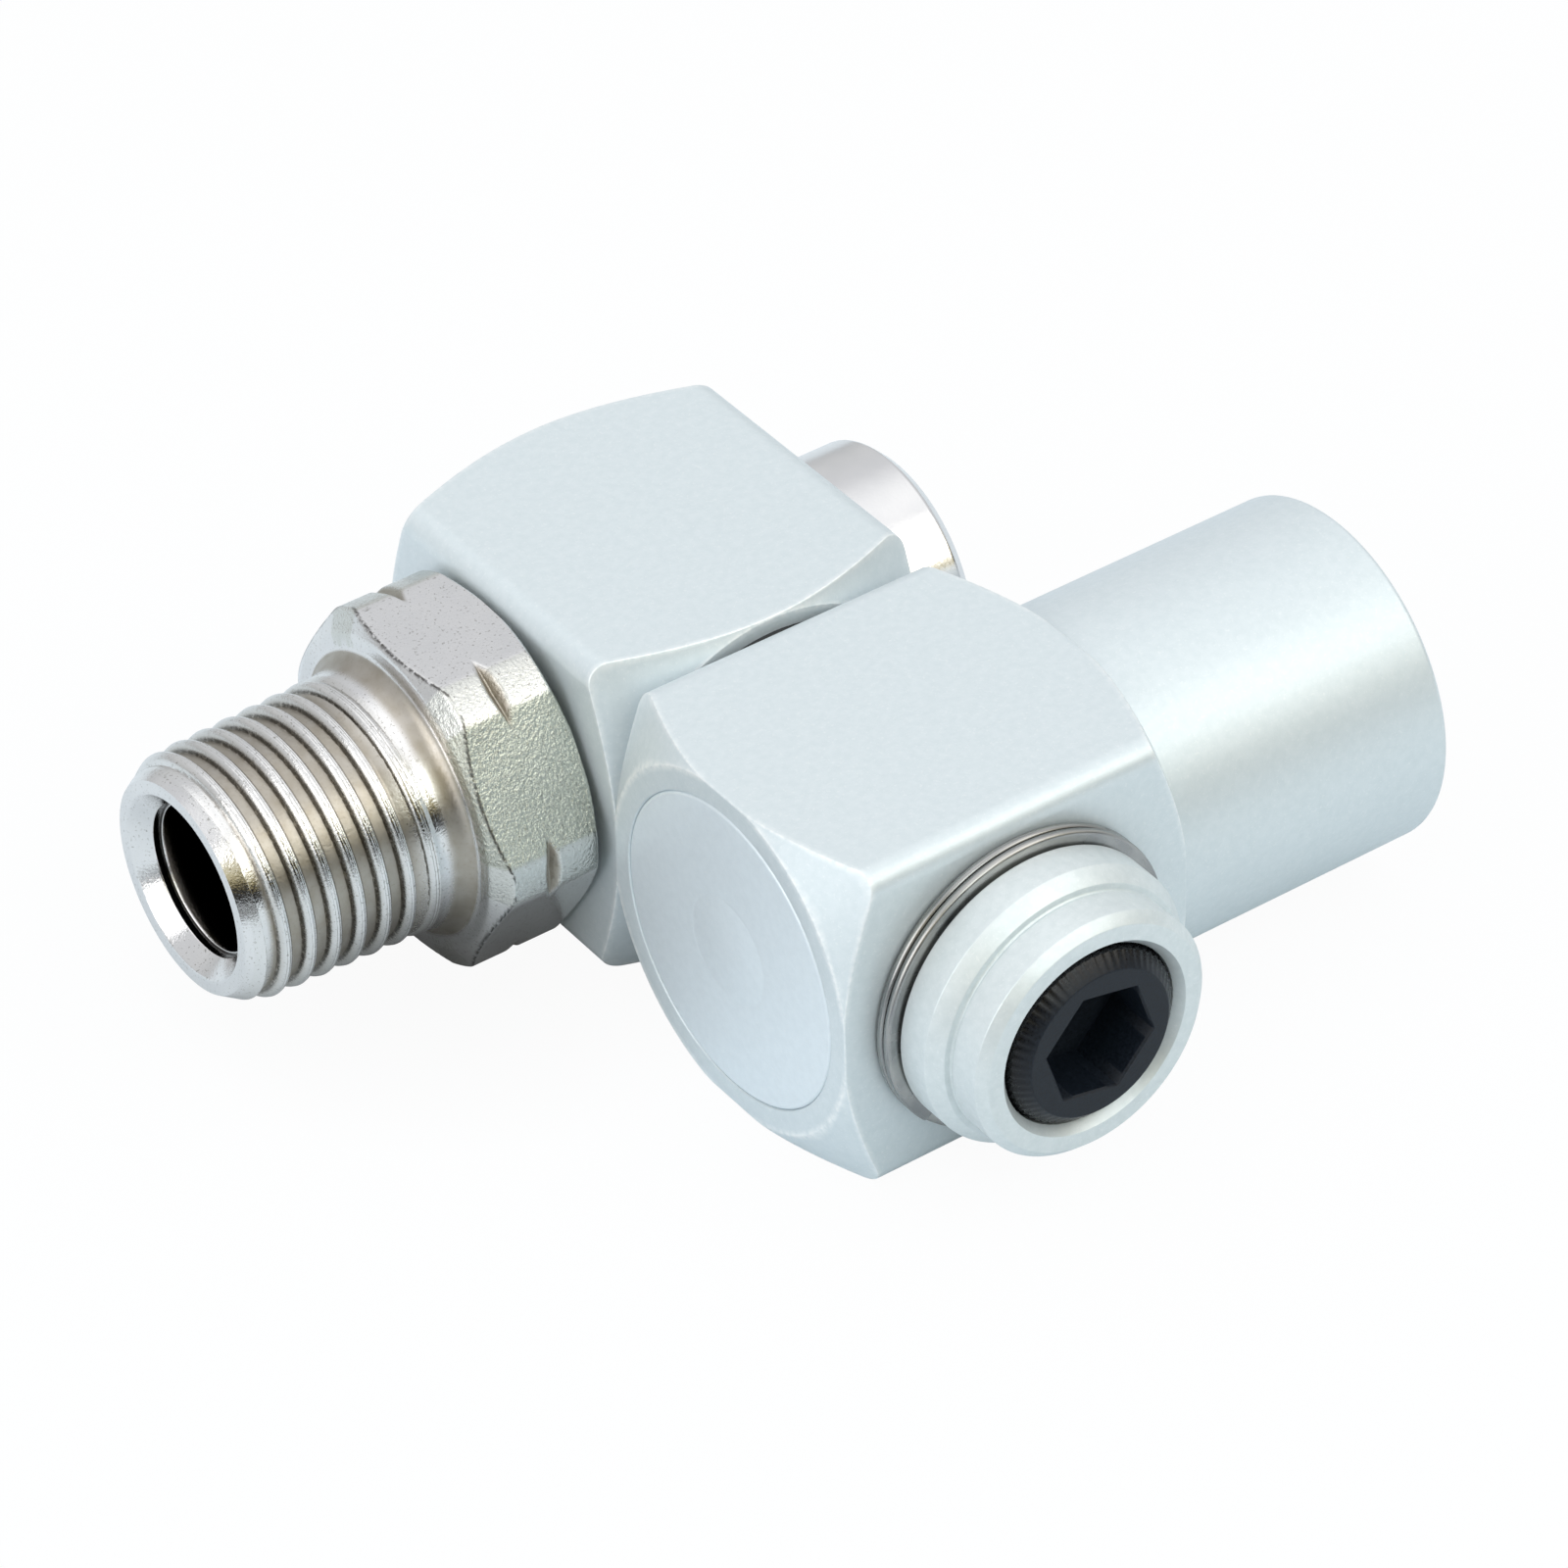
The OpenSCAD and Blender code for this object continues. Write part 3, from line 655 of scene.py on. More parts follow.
def thread_radius(x, angle):
    """Radius of the tapered thread's surface, cut back by the chamfer at the tip."""
    from_tip = x - TIP_X
    beside = off_crest(thread_turns(x, angle))
    seams = sum(share * np.exp(-(((beside - at) / SEAM_HALF) ** 2)) for at, share in CREST_SEAMS)
    crest = THREAD_TIP_R + from_tip * TAPER
    cut = crest - thread_share(x, angle) * THREAD_DEPTH - seams * SEAM_DEPTH
    return soft_min(cut, TIP_R + from_tip * TIP_RISE, 0.15 * MM)


def nipple_bore_rows():
    """Rows out of the nipple's bore, past the bright lip in it, over the countersink to the tip's face."""
    path = [
        (0, NIPPLE_DRILL_END_X, 0), (NIPPLE_BORE_R, NIPPLE_BORE_END_X, 0),
        (NIPPLE_BORE_R, ENTRY_END_X + 1 * MM, 0),
        (ENTRY_R - ENTRY_LIP - 0.03 * MM, ENTRY_END_X + 0.12 * MM, 0),
        (ENTRY_R - ENTRY_LIP, ENTRY_END_X, 0.03 * MM), (ENTRY_R, ENTRY_END_X, 0),
        (ENTRY_R, TIP_X + SINK_DEPTH, 0.12 * MM), (ENTRY_R + SINK_DEPTH, TIP_X, 0.25 * MM),
        (TIP_FACE_R, TIP_X, 0),
    ]
    return rounded(path, 5)


def neck_rows():
    """Rows over the neck's quarter round, from the thread's end up to the hexagon's front land."""
    start_r = thread_radius(THREAD_END_X, 0.0)
    rows = []
    for angle in np.linspace(0, math.pi / 2, 16)[1:]:
        radius = start_r + (NECK_FACE_R - start_r) * (1 - math.cos(angle))
        rows.append((radius, THREAD_END_X + NECK_LEN * math.sin(angle)))
    return rows + [(HEX_LAND_R - 0.12 * MM, HEX_FRONT_X)]


def hexagon_rows(angle):
    slant = from_flat(angle, HEX_TURN)
    flats = HEX_FLAT / np.cos(slant)
    places = np.linspace(HEX_FRONT_X + ON_FACE, HEX_BACK_X - ON_FACE, HEX_ROWS)
    return [(soft_min(flats, hex_limit(x, slant), FLAT_BLEND), x) for x in places]


def spindle_rows():
    """Rows over the spindle, with a seal groove on both sides of its gallery, and over its stud."""
    grooves = (
        (-SPINDLE_SEAL_X, SPINDLE_SEAL_HALF, SPINDLE_SEAL_R),
        (0, SPINDLE_GALLERY_HALF, SPINDLE_GALLERY_R),
        (SPINDLE_SEAL_X, SPINDLE_SEAL_HALF, SPINDLE_SEAL_R),
    )
    rows = [(HEX_FLAT - 0.2 * MM, HEX_BACK_X), (SPINDLE_R, HEX_BACK_X)]
    for middle, half_width, floor_r in grooves:
        rows += [point[:2] for point in groove(SPINDLE_R, floor_r, STEM_X + middle, half_width)]
    seat = cap_low[0]
    stud_end = seat + STUD_LEN
    return rows + [(SPINDLE_R, seat), (STUD_R, seat), (STUD_R, stud_end), (0, stud_end)]


def make_nipple():
    angle = turn(NIPPLE_COLUMNS)
    rows = nipple_bore_rows()
    rows += [(thread_radius(x, angle), x) for x in np.linspace(TIP_X, THREAD_END_X, THREAD_ROWS)]
    rows += neck_rows()
    rows += hexagon_rows(angle)
    rows += spindle_rows()
    return skin_rows("nipple_body", "X", NIPPLE_CENTRE, rows, angle)


# Screw
def socket_rows(angle):
    """Rows out of the socket, from its drill point to the flat face."""
    front, floor_y = screw_low[1], screw_low[1] + SOCKET_DEPTH
    flats = SOCKET_FLAT / np.cos(from_flat(angle, SOCKET_TURN))
    return [
        (0, floor_y + DRILL_POINT), (SOCKET_FLAT - 0.3 * MM, floor_y),
        (flats, floor_y), (flats, front + 0.12 * MM),
        (flats + SOCKET_CHAMFER, front), (SCREW_R - FACE_MARGIN, front),
    ]


def head_rows(angle):
    """Rows over the slope round the face and the knurled side, whose ribs fade out on the slope."""
    front = screw_low[1]
    knurl = KNURL_DEPTH * np.abs(np.sin(angle * KNURL_RIBS / 2))
    slope_path = [
        (SCREW_R - FACE_MARGIN, front, 0), (SCREW_R - 0.9 * MM, front, 0.1 * MM),
        (SCREW_R - 0.15 * MM, front + 0.7 * MM, 0.2 * MM), (SCREW_R - 0.02 * MM, front + 1.2 * MM, 0),
    ]
    rows = []
    for radius, along in rounded(slope_path)[1:]:
        rows.append((radius - knurl * np.clip((along - front) / (0.5 * MM) - 0.3, 0, 1), along))
    return rows + [(SCREW_R - knurl, front + 1.25 * MM), (SCREW_R - knurl, front + HEAD_H - 0.3 * MM)]


def shank_rows():
    """Rows from under the head over the shank with its seal groove to the waist and the needle."""
    head_end = screw_low[1] + HEAD_H
    return [
        (SCREW_R - 0.3 * MM, head_end), (SHANK_R, head_end), (SHANK_R, SCREW_SEAL_Y[0]),
        (SCREW_SEAL_R, SCREW_SEAL_Y[0]), (SCREW_SEAL_R, SCREW_SEAL_Y[1]), (SHANK_R, SCREW_SEAL_Y[1]),
        (SHANK_R, SHANK_END_Y), (WAIST_R, WAIST_Y[0]), (WAIST_R, WAIST_Y[1]), (NEEDLE_R, NEEDLE_Y[0]),
        (NEEDLE_TIP_R, NEEDLE_Y[1]), (0, NEEDLE_Y[1]),
    ]


def make_screw():
    angle = turn(SCREW_COLUMNS, SOCKET_TURN)
    rows = socket_rows(angle) + head_rows(angle) + shank_rows()
    return skin_rows("screw_body", "Y", STEM_CENTRE, rows, angle)


# Marks on the vertices, which the materials read. The crests' lines are given in turns of the thread
BARE_TIP_LEN = 1.1 * MM
ROOT_FROM_R = 5.7 * MM
CREST_FROM_R = 5.9 * MM
CREST_LINE_AT = 0.27
CREST_LINE_WIDTH = 0.045
CREST_LINE_SHARE = 0.8
CORNER_BAND = math.radians(23)

# Roughness of the nipple's other surfaces, as shares of the hammered faces'
CORNER_SHARE = 0.5
THREAD_SHARE = 0.12
FACE_SHARE = 0.06
REST_SHARE = 0.03


def round_nipple(places):
    """Place, radius and angle round the nipple's axis of each point."""
    y, z = places[:, 1] - NIPPLE_Y, places[:, 2]
    return places[:, 0], np.hypot(y, z), np.arctan2(z, y)


def line(distance, width, peak=1.0):
    """Strength of a drawn line at a distance from its middle. A peak over 1 gives it a solid core."""
    return np.clip(peak - distance / width, 0, 1)


def deep(places):
    """How far a point of the nipple lies in the thread's roots, in the neck or in the hexagon's notches."""
    x, r, angle = round_nipple(places)
    thread = thread_share(x, angle) * ramp(x - TIP_X - BARE_TIP_LEN, 0.3 * MM)
    neck = ramp(x - HEX_FRONT_X + 1.3 * MM, 0.4 * MM) * ramp(NECK_FACE_R - 0.2 * MM - r, 0.08 * MM)
    uncut = np.minimum(HEX_FLAT / np.cos(from_flat(angle, HEX_TURN)), HEX_CORNER_R)
    in_notch = np.abs(x - HEX_MIDDLE_X) < HEX_NOTCH_W / 2
    notch = np.where(in_notch, ramp(uncut - r, 0.12 * MM), 0)
    before_hexagon = (x < HEX_FRONT_X - ON_FACE) & (r > ROOT_FROM_R)
    return np.where(before_hexagon, np.maximum(thread, neck), notch)


def hammered(places):
    """How rough the plate is: two opposite faces of the hexagon most, its corners less, the rest least."""
    x, r, angle = round_nipple(places)
    on_hexagon = (x > HEX_FRONT_X - ON_FACE) & (x < HEX_BACK_X + ON_FACE) & (r > NECK_FACE_R)
    side = np.floor((angle - HEX_TURN) / (math.pi / 3) % 6)
    beside_corner = np.abs(from_flat(angle, HEX_TURN)) > CORNER_BAND
    hexagon = np.where(beside_corner, CORNER_SHARE, np.where(side % 3 == 2, 1.0, FACE_SHARE))
    thread = (x < THREAD_END_X) & (r > CREST_FROM_R)
    return np.where(on_hexagon, hexagon, np.where(thread, THREAD_SHARE, REST_SHARE))


def painted_dark_lines(places):
    """Painted shade as thin dark lines in the creases beside the thread's crests, and a dark line where the
    hexagon's front chamfer meets its flats.
    """
    x, r, angle = round_nipple(places)
    from_crest = np.abs(off_crest(thread_turns(x, angle)))
    crests = CREST_LINE_SHARE * line(np.abs(from_crest - CREST_LINE_AT), CREST_LINE_WIDTH) ** 1.5
    crests *= (r > CREST_FROM_R) & (x > TIP_X + 1.5 * MM) & (x < THREAD_END_X - 1 * MM)
    flats = HEX_FLAT / np.cos(from_flat(angle, HEX_TURN))
    off = np.abs(flats - HEX_LAND_R - (x - HEX_FRONT_X) / CONE)
    on_chamfer = (x > HEX_FRONT_X) & (x < HEX_FRONT_X + 0.8 * MM)
    return np.where(on_chamfer, line(off, 0.09 * MM, 1.5), crests)


def inside(places):
    """The walls of the nipple's bore behind the countersink, but not the bright lip in them: painted shade,
    mixed to near-black.
    """
    x, r, _ = round_nipple(places)
    in_bore = r < ENTRY_R + ON_FACE
    on_lip = (np.abs(x - ENTRY_END_X) < 0.08 * MM) & (r < ENTRY_R - ON_FACE)
    return np.where(in_bore & ~on_lip, ramp(x - TIP_X - SINK_DEPTH, 0.15 * MM), 0)


def slope(places):
    """The slope round the screw's face, which is darker and smoother than the face."""
    r = np.hypot(places[:, 0] - STEM_X, places[:, 2])
    depth = places[:, 1] - screw_low[1]
    return ramp(depth - ON_FACE, 0.04 * MM) * (r > SCREW_R - FACE_MARGIN - 0.2 * MM)


def seam(places):
    """The line where the ring's two turns touch."""
    middle = (ring_low[1] + ring_high[1]) / 2
    return line(np.abs(places[:, 1] - middle), 0.06 * MM, 1.2)


def edge_rule(axis, ends, land_r, centre):
    """A rule for how near a point lies to the edges between a block's ends, cones and long sides."""
    others = [k for k in range(3) if k != axis]

    def rule(places):
        across = np.abs(places[:, others] - np.array(centre)[others])
        from_end = np.minimum(np.abs(places[:, axis] - ends[0]), np.abs(places[:, axis] - ends[1]))
        side = EDGE_R - np.linalg.norm(np.maximum(across - BAR_HALF + EDGE_R, 0), axis=1)
        cone = (from_end - (np.linalg.norm(across, axis=1) - land_r) * CONE) * math.cos(CONE_ANGLE)
        gaps = np.sort(np.abs(np.stack([side, cone, from_end])), 0)
        return line(gaps[1], 0.08 * MM, 1.15)

    return rule


MARKS = {
    "outlet_block": {"edge": edge_rule(0, (outlet_low[0], SHOULDER_X), OUTLET_LAND_R, PORT_CENTRE)},
    "inlet_block": {"edge": edge_rule(1, (inlet_low[1], inlet_high[1]), INLET_LAND_R, STEM_CENTRE)},
    "retaining_ring": {"seam": seam},
    "inlet_nipple": {"deep": deep, "hammered": hammered, "painted_dark_lines": painted_dark_lines, "inside": inside},
    "flow_screw": {"slope": slope},
}


# Colours, two where a surface wavers between them
BLOCK_TONES = ((0.655, 0.725, 0.755), (0.69, 0.755, 0.785))
STEM_TONES = ((0.66, 0.72, 0.735), (0.71, 0.765, 0.78))
PLUG_TONES = ((0.74, 0.81, 0.855), (0.77, 0.84, 0.885))
PALE_SPECK = (0.86, 0.89, 0.9)
# Pale edge colour: partly real wear, partly a painted highlight along the block's edges
WORN_EDGE_AND_HIGHLIGHT = (0.93, 0.95, 0.95)
NICKEL_TONES = ((0.75, 0.745, 0.745), (0.80, 0.79, 0.785))
HAMMERED_NICKEL = (0.54, 0.555, 0.49)
PITTED_NICKEL = (0.22, 0.21, 0.18)
# Brown for the thread's roots, the neck and the notches: partly tarnish, partly painted shade in these
# recesses
TARNISH_AND_SHADE = (0.36, 0.325, 0.27)
# Near-black for the painted shade in the crest creases and the bore, and for the dark line along the
# hexagon's front chamfer
PAINTED_DARK = (0.05, 0.045, 0.04)
WIRE_TONES = ((0.24, 0.245, 0.25), (0.46, 0.455, 0.435))
WIRE_SEAM = (0.03, 0.03, 0.03)
SCREW_TONES = ((0.003, 0.005, 0.009), (0.011, 0.017, 0.027))
SCREW_SLOPE = (0.004, 0.004, 0.005)
RUBBER_TONES = ((0.012, 0.012, 0.013), (0.03, 0.03, 0.032))
PLASTIC_TONES = ((0.012, 0.012, 0.013), (0.022, 0.022, 0.024))
PAPER_TONES = ((0.68, 0.745, 0.80), (0.71, 0.775, 0.83))
# Painted dark patch in the floor's corner, standing in for shade for the plate to mirror
PAINTED_REFLECTED_DARK = (0.02, 0.02, 0.02)
# Painted shade on the floor under the nipple
PAINTED_FLOOR_SHADE = (0.12, 0.125, 0.13)


# Materials
class Finish:
    """A procedural material: a Principled shader and the nodes that feed it."""

    def __init__(self, name, metallic, roughness):
        self.material = bpy.data.materials.new(name)
        self.material.use_nodes = True
        self.tree = self.material.node_tree
        self.shader = self.tree.nodes["Principled BSDF"]
        self.shader.inputs["Metallic"].default_value = metallic
        self.shader.inputs["Roughness"].default_value = roughness
        self.coords = self.tree.nodes.new("ShaderNodeTexCoord").outputs["Object"]

    def feed(self, socket, value):
        """Joins another node's output to a socket, or sets a plain value on it."""
        if isinstance(value, bpy.types.NodeSocket):
            self.tree.links.new(value, socket)
        else:
            socket.default_value = value

    def add(self, kind, inputs):
        """A node whose inputs, given by name or number, are fed."""
        made = self.tree.nodes.new(kind)
        for key, value in inputs.items():
            self.feed(made.inputs[key], value)
        return made

    def noise(self, size, detail=3.0, roughness=0.55, squeeze=(1, 1, 1)):
        """Noise of 0 to 1 with features of a size in metres, drawn out along an axis of low squeeze."""
        moved = self.add("ShaderNodeMapping", {"Vector": self.coords, "Scale": squeeze})
        made = self.add("ShaderNodeTexNoise", {
            "Vector": moved.outputs[0], "Scale": 1 / size, "Detail": detail, "Roughness": roughness,
        })
        return made.outputs["Fac"]

    def spot(self, centre, radius):
        """1 at a centre on the floor, falling to 0 at a radius from it."""
        moved = self.add("ShaderNodeMapping", {
            "Vector": self.coords, "Scale": (1 / radius, 1 / radius, 0),
            "Location": (-centre[0] / radius, -centre[1] / radius, 0),
        })
        made = self.add("ShaderNodeTexGradient", {"Vector": moved.outputs[0]})
        made.gradient_type = "SPHERICAL"
        return made.outputs["Fac"]

    def scale(self, value, low, high, to_low=0.0, to_high=1.0):
        """The range from low to high stretched to another range and held at its ends."""
        inputs = dict(enumerate((value, low, high, to_low, to_high)))
        return self.add("ShaderNodeMapRange", inputs).outputs[0]

    def mix(self, factor, first, second):
        """The first colour at a factor of 0 and the second at 1."""
        made = self.tree.nodes.new("ShaderNodeMix")
        made.data_type = "RGBA"
        for index, value in ((0, factor), (6, first), (7, second)):
            self.feed(made.inputs[index], (*value, 1) if isinstance(value, tuple) else value)
        return made.outputs[2]

    def math(self, operation, first, second):
        made = self.add("ShaderNodeMath", {0: first, 1: second})
        made.operation = operation
        return made.outputs[0]

    def marked(self, name):
        """The number that mark() stored under a name."""
        made = self.tree.nodes.new("ShaderNodeAttribute")
        made.attribute_name = name
        return made.outputs["Fac"]

    def colour(self, value):
        self.feed(self.shader.inputs["Base Color"], value)

    def rough(self, value):
        self.feed(self.shader.inputs["Roughness"], value)

    def bump(self, height, depth, strength=1.0):
        """Bump whose height of 1 stands for a depth in metres."""
        made = self.add("ShaderNodeBump", {"Height": height, "Distance": depth, "Strength": strength})
        self.feed(self.shader.inputs["Normal"], made.outputs[0])


def satin(name, tones, edge=None):
    """Blasted and anodised aluminium: fine grain, a few paler specks, and edges lightened where marked,
    partly wear and partly a painted highlight.
    """
    f = Finish(name, 0.45, 0.42)
    grain = f.noise(0.09 * MM, 4)
    speck = f.scale(f.noise(0.16 * MM, 2), 0.6, 0.72)
    base = f.mix(f.scale(f.noise(0.45 * MM, 4), 0.35, 0.65), *tones)
    base = f.mix(f.math("MULTIPLY", speck, 0.3), base, PALE_SPECK)
    if edge:
        # Painted highlight and wear: the marked edges are lightened, broken up by noise
        edge_wear_and_highlight = f.math("MULTIPLY", f.marked(edge), f.scale(f.noise(0.35 * MM, 3), 0.35, 0.6, 0.2, 0.8))
        base = f.mix(edge_wear_and_highlight, base, WORN_EDGE_AND_HIGHLIGHT)
    f.colour(base)
    f.rough(f.scale(grain, 0.3, 0.7, 0.38, 0.52))
    f.bump(grain, 0.006 * MM, 0.6)
    return f.material


def nickel_finish():
    """Bright nickel plate, smooth or hammered as marked, dull and brown down in the thread and neck, where
    the brown is partly tarnish and partly painted shade; painted shade lines and a darkened bore.
    """
    f = Finish("nipple_plate", 1.0, 0.2)
    hammer = f.noise(0.19 * MM, 3, 0.6)
    fine = f.noise(0.12 * MM, 3)
    plate = f.mix(f.scale(f.noise(2.5 * MM, 2), 0.3, 0.7), *NICKEL_TONES)
    plate = f.mix(f.marked("hammered"), plate, HAMMERED_NICKEL)
    pits = f.scale(f.noise(0.15 * MM, 2), 0.62, 0.68)
    plate = f.mix(f.math("MULTIPLY", pits, 0.55), plate, PITTED_NICKEL)
    cloudy = f.scale(f.noise(1.2 * MM, 3), 0.25, 0.7, 0.75, 1.0)
    # Partly tarnish, partly painted shade: the recesses marked deep turn brown and dark
    plate = f.mix(f.math("MULTIPLY", f.marked("deep"), cloudy), plate, TARNISH_AND_SHADE)
    broken = f.scale(f.noise(0.25 * MM, 3), 0.33, 0.47)
    lines = f.math("MULTIPLY", f.marked("painted_dark_lines"), broken)
    # Painted shade: the crest lines and the bore's walls, and the chamfer's line, are mixed to near-black
    f.colour(f.mix(f.math("MAXIMUM", lines, f.marked("inside")), plate, PAINTED_DARK))
    dull = f.math("MULTIPLY", f.marked("deep"), 0.22)
    f.rough(f.math("ADD", f.scale(fine, 0.3, 0.7, 0.08, 0.18), dull))
    rest = f.math("MULTIPLY", f.math("SUBTRACT", fine, 0.5), 0.09)
    knocked = f.math("MULTIPLY", f.math("SUBTRACT", hammer, 0.5), f.marked("hammered"))
    f.bump(f.math("ADD", rest, knocked), 0.1 * MM)
    return f.material


def cap_finish():
    """The same plate on a turned piece, nearly smooth."""
    f = Finish("cap_plate", 1.0, 0.2)
    fine = f.noise(0.14 * MM, 3)
    f.colour(f.mix(f.scale(f.noise(2 * MM, 2), 0.3, 0.7), *NICKEL_TONES))
    f.rough(f.scale(fine, 0.3, 0.7, 0.12, 0.24))
    f.bump(fine, 0.008 * MM, 0.5)
    return f.material


def ring_finish():
    """Spring steel wire, drawn along its length, dark where its turns meet."""
    f = Finish("ring_steel", 1.0, 0.26)
    drawn = f.noise(0.2 * MM, 3, 0.6, (0.06, 1, 0.06))
    wire = f.mix(f.scale(drawn, 0.3, 0.7), *WIRE_TONES)
    f.colour(f.mix(f.marked("seam"), wire, WIRE_SEAM))
    f.rough(f.scale(drawn, 0.3, 0.7, 0.2, 0.36))
    f.bump(drawn, 0.012 * MM, 0.8)
    return f.material


def screw_finish():
    """Black oxide with a blue cast, finely grained."""
    f = Finish("screw_black", 0.0, 0.42)
    f.shader.inputs["Specular IOR Level"].default_value = 0.28
    grain = f.noise(0.12 * MM, 4)
    face = f.mix(f.scale(grain, 0.35, 0.7), *SCREW_TONES)
    f.colour(f.mix(f.marked("slope"), face, SCREW_SLOPE))
    smoother = f.math("MULTIPLY", f.marked("slope"), 0.2)
    f.rough(f.math("SUBTRACT", f.scale(grain, 0.3, 0.7, 0.36, 0.56), smoother))
    f.bump(grain, 0.01 * MM, 0.6)
    return f.material


def dark_finish(name, roughness, tones, grain_size, depth, strength):
    """Rubber or plastic of the hidden pieces, nearly black with a light grain."""
    f = Finish(name, 0.0, roughness)
    grain = f.noise(grain_size, 3)
    f.colour(f.mix(grain, *tones))
    f.bump(grain, depth, strength)
    return f.material


ALLOY = satin("block_alloy", BLOCK_TONES, "edge")
STEM = satin("stem_alloy", STEM_TONES)
PLUG = satin("plug_alloy", PLUG_TONES)
NICKEL = nickel_finish()
CAP = cap_finish()
STEEL = ring_finish()
BLACK = screw_finish()
RUBBER = dark_finish("seal_rubber", 0.55, RUBBER_TONES, 0.1 * MM, 0.01 * MM, 0.5)
PLASTIC = dark_finish("slide_plastic", 0.5, PLASTIC_TONES, 0.4 * MM, 0.008 * MM, 0.4)


# Pieces that are made here, each with its body, node, slot and material
PIECES = (
    (make_outlet_block, "outlet_body", "outlet_block", "block_alloy", ALLOY),
    (make_inlet_block, "inlet_body", "inlet_block", "block_alloy", ALLOY),
    (make_stem, "inlet_body", "swivel_stem", "stem_alloy", STEM),
    (make_ring, "inlet_body", "retaining_ring", "ring_steel", STEEL),
    (make_plug, "outlet_body", "end_plug", "plug_alloy", PLUG),
    (make_nipple, "inlet_spindle", "inlet_nipple", "nipple_plate", NICKEL),
    (make_cap, "inlet_spindle", "nipple_cap", "nipple_plate", CAP),
    (make_screw, "flow_screw", "flow_screw", "screw_black", BLACK),
)

for maker, body, node, slot_name, finish in PIECES:
    made = maker()
    for mark_name, rule in MARKS.get(node, {}).items():
        mark(made, mark_name, rule)
    smooth(made)
    made.data.materials.append(finish)
    place(made, body, node)

# Pieces whose CAD solids are seen as they are
INNER = {
    "stem_oring_front": RUBBER, "stem_oring_rear": RUBBER, "stem_port_seal": RUBBER,
    "nipple_oring_front": RUBBER, "nipple_oring_rear": RUBBER, "screw_oring": RUBBER,
    "thrust_washer": PLASTIC, "nipple_washer_front": PLASTIC, "nipple_washer_rear": PLASTIC,
}
for node, finish in INNER.items():
    for slot in bpy.data.objects[node].material_slots:
        slot.material = finish


# Studio
FLOOR_HALF = 1.5
FLOOR_TO_CAMERA = 0.95
FLOOR_TO_GLOSS = 0.04
# Painted dark patch on the floor that the plate mirrors: centre and radius
REFLECTED_DARK_PATCH = ((-140 * MM, -75 * MM), 85 * MM)
# Painted shade under the nipple: centre and radius
UNDER_NIPPLE = ((-40 * MM, 18 * MM), 16 * MM)

# Radiance of the dome by height, 0 at the horizon to 1 overhead, as shares of DOME
DOME = 1.5
BEHIND = (
    (0.0, (0.38, 0.39, 0.40)), (0.3, (0.48, 0.49, 0.50)), (0.7, (0.52, 0.53, 0.55)),
    (1.0, (0.98, 0.99, 1.0)),
)
AHEAD = (
    (0.0, (0.03, 0.03, 0.03)), (0.27, (0.01, 0.01, 0.01)), (0.33, (0.2, 0.16, 0.07)),
    (0.42, (0.46, 0.42, 0.27)), (0.65, (0.54, 0.52, 0.45)), (1.0, (0.98, 0.99, 1.0)),
)
AHEAD_FROM = -0.25
AHEAD_FULL = -0.45

# Softboxes: name, place, width, power and colour
MIDDLE = (-24 * MM, 10 * MM, 0)
LAMPS = (
    ("left_box", (-0.42, -0.05, 0.16), 0.3, 0.55, (1, 1, 1)),
    ("key_box", (0.2, -0.28, 0.33), 0.26, 0.42, (1.0, 0.99, 0.97)),
    ("front_box", (-0.06, -0.36, 0.3), 0.2, 0.34, (0.88, 0.97, 1.0)),
)

# The photograph's view, fitted to the outlines of the real part
VIEW_TARGET = Vector((-24.888, 9.597, 0)) * MM
VIEW_DISTANCE = 380.63 * MM
VIEW_TURNED = math.radians(-34.848)
VIEW_RAISED = math.radians(38.006)
VIEW_ROLLED = math.radians(-1.672)
LENS_MM = 176.62
LENS_SHIFT = -0.0125


def floor_material():
    """Pale paper with a painted dark patch in one corner and painted shade under the nipple, both of which
    its plate mirrors. White to the camera.
    """
    f = Finish("floor_paper", 0.0, 0.9)
    paper = f.mix(f.noise(30 * MM), *PAPER_TONES)
    # Painted shade: a dark patch in the corner, which the plate shows as a dark reflection
    paper = f.mix(f.scale(f.spot(*REFLECTED_DARK_PATCH), 0.0, 0.35), paper, PAINTED_REFLECTED_DARK)
    # Painted shade: the floor is darkened under the nipple
    f.colour(f.mix(f.scale(f.spot(*UNDER_NIPPLE), 0.0, 0.8), paper, PAINTED_FLOOR_SHADE))
    rays = f.tree.nodes.new("ShaderNodeLightPath").outputs
    camera_share = f.math("MULTIPLY", rays["Is Camera Ray"], FLOOR_TO_CAMERA)
    gloss_share = f.math("MULTIPLY", rays["Is Glossy Ray"], FLOOR_TO_GLOSS)
    share = f.math("ADD", camera_share, gloss_share)
    white = f.add("ShaderNodeEmission", {"Color": (1, 1, 1, 1), "Strength": 1.0})
    shown = f.add("ShaderNodeMixShader", {0: share, 1: f.shader.outputs[0], 2: white.outputs[0]})
    f.tree.links.new(shown.outputs[0], f.tree.nodes["Material Output"].inputs["Surface"])
    return f.material


def make_floor():
    """Floor that takes the part's shadow."""
    mesh = bpy.data.meshes.new("floor")
    half, level = FLOOR_HALF, cad_box[0][2]
    corners = [(-half, -half, level), (half, -half, level), (half, half, level), (-half, half, level)]
    mesh.from_pydata(corners, [], [(0, 1, 2, 3)])
    mesh.materials.append(floor_material())
    floor = bpy.data.objects.new("floor", mesh)
    bpy.context.scene.collection.objects.link(floor)


def height_ramp(tree, height, stops):
    """A colour ramp over the height, with its stops at their own heights."""
    made = tree.nodes.new("ShaderNodeValToRGB")
    points = made.color_ramp.elements
    while len(points) < len(stops):
        points.new(1.0)
    for point, (level, colour) in zip(points, stops):
        point.position = level
        point.color = (*colour, 1)
    tree.links.new(height, made.inputs[0])
    return made.outputs[0]


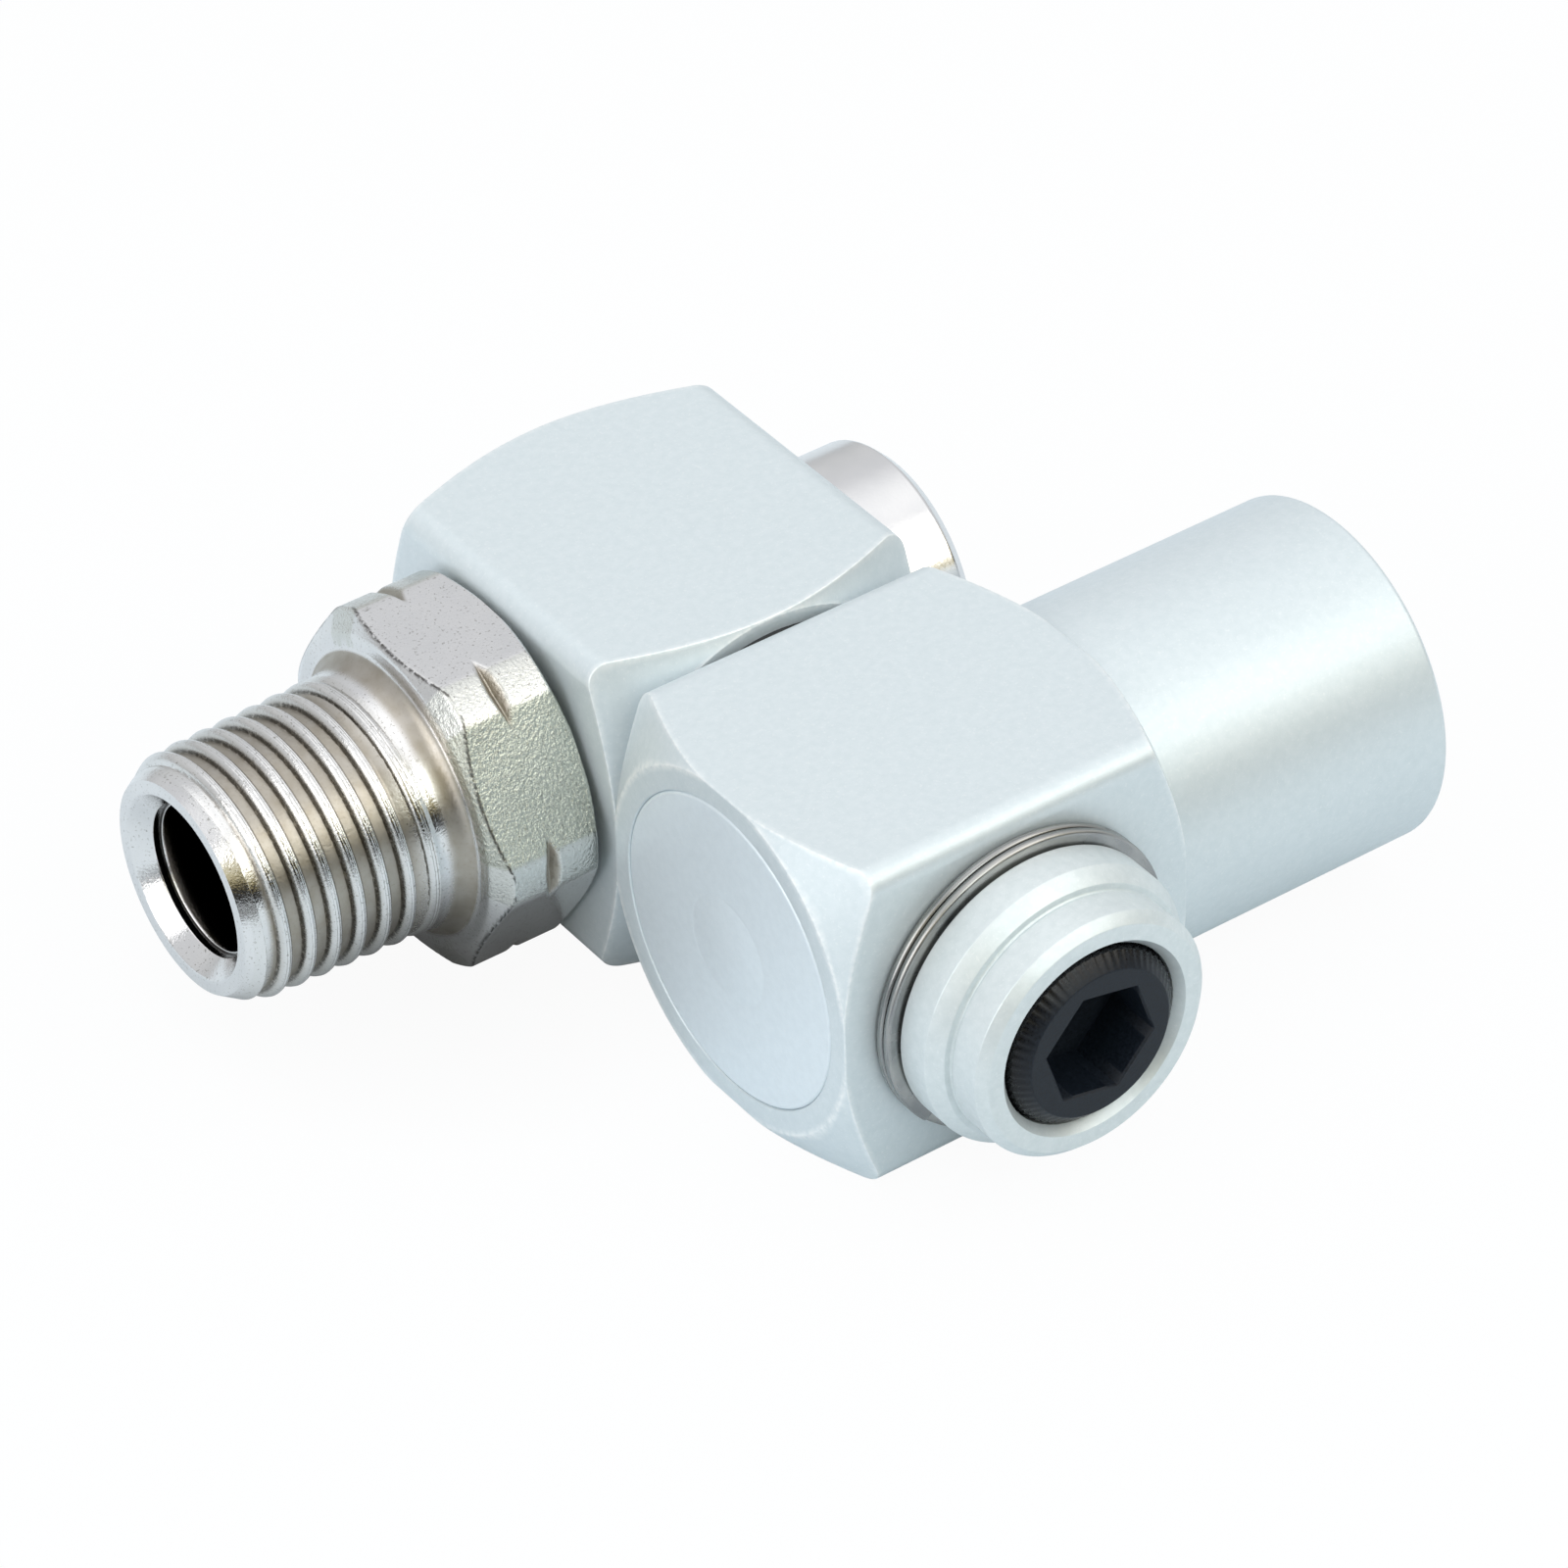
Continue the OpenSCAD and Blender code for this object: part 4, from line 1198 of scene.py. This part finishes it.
def make_world():
    """White to the camera; to all else a soft dome with a dark gap over the table's front edge."""
    world = bpy.data.worlds.new("studio")
    world.use_nodes = True
    tree = world.node_tree
    tree.nodes.clear()
    add, join = tree.nodes.new, tree.links.new
    split = add("ShaderNodeSeparateXYZ")
    join(add("ShaderNodeTexCoord").outputs["Generated"], split.inputs[0])
    front = add("ShaderNodeMapRange")
    front.inputs[1].default_value = AHEAD_FROM
    front.inputs[2].default_value = AHEAD_FULL
    join(split.outputs[1], front.inputs[0])
    blend = add("ShaderNodeMix")
    blend.data_type = "RGBA"
    join(front.outputs[0], blend.inputs[0])
    join(height_ramp(tree, split.outputs[2], BEHIND), blend.inputs[6])
    join(height_ramp(tree, split.outputs[2], AHEAD), blend.inputs[7])
    dome = add("ShaderNodeBackground")
    dome.inputs["Strength"].default_value = DOME
    join(blend.outputs[2], dome.inputs["Color"])
    white = add("ShaderNodeBackground")
    white.inputs["Color"].default_value = (1, 1, 1, 1)
    pick = add("ShaderNodeMixShader")
    join(add("ShaderNodeLightPath").outputs["Is Camera Ray"], pick.inputs[0])
    join(dome.outputs[0], pick.inputs[1])
    join(white.outputs[0], pick.inputs[2])
    join(pick.outputs[0], add("ShaderNodeOutputWorld").inputs[0])
    bpy.context.scene.world = world


def add_lamp(name, spot, size, power, colour):
    """A square softbox at a spot, facing the part's middle."""
    light = bpy.data.lights.new(name, "AREA")
    light.size = size
    light.energy = power
    light.color = colour
    lamp = bpy.data.objects.new(name, light)
    lamp.location = spot
    lamp.rotation_euler = (Vector(MIDDLE) - Vector(spot)).to_track_quat("-Z", "Y").to_euler()
    bpy.context.scene.collection.objects.link(lamp)


def make_camera():
    back = Vector((
        math.sin(VIEW_TURNED) * math.cos(VIEW_RAISED),
        -math.cos(VIEW_TURNED) * math.cos(VIEW_RAISED),
        math.sin(VIEW_RAISED),
    ))
    right = Vector((math.cos(VIEW_TURNED), math.sin(VIEW_TURNED), 0))
    up = back.cross(right)
    side = right * math.cos(VIEW_ROLLED) + up * math.sin(VIEW_ROLLED)
    top = up * math.cos(VIEW_ROLLED) - right * math.sin(VIEW_ROLLED)
    facing = Matrix((side, top, back)).transposed().to_4x4()
    lens = bpy.data.cameras.new("view")
    lens.lens = LENS_MM
    lens.sensor_width = 36
    lens.shift_x = LENS_SHIFT
    lens.shift_y = LENS_SHIFT
    lens.clip_start = 0.01
    camera = bpy.data.objects.new("view", lens)
    camera.matrix_world = Matrix.Translation(VIEW_TARGET + back * VIEW_DISTANCE) @ facing
    bpy.context.scene.collection.objects.link(camera)
    bpy.context.scene.camera = camera


make_floor()
make_world()
for lamp_values in LAMPS:
    add_lamp(*lamp_values)
make_camera()
bpy.context.scene.view_settings.view_transform = "Standard"
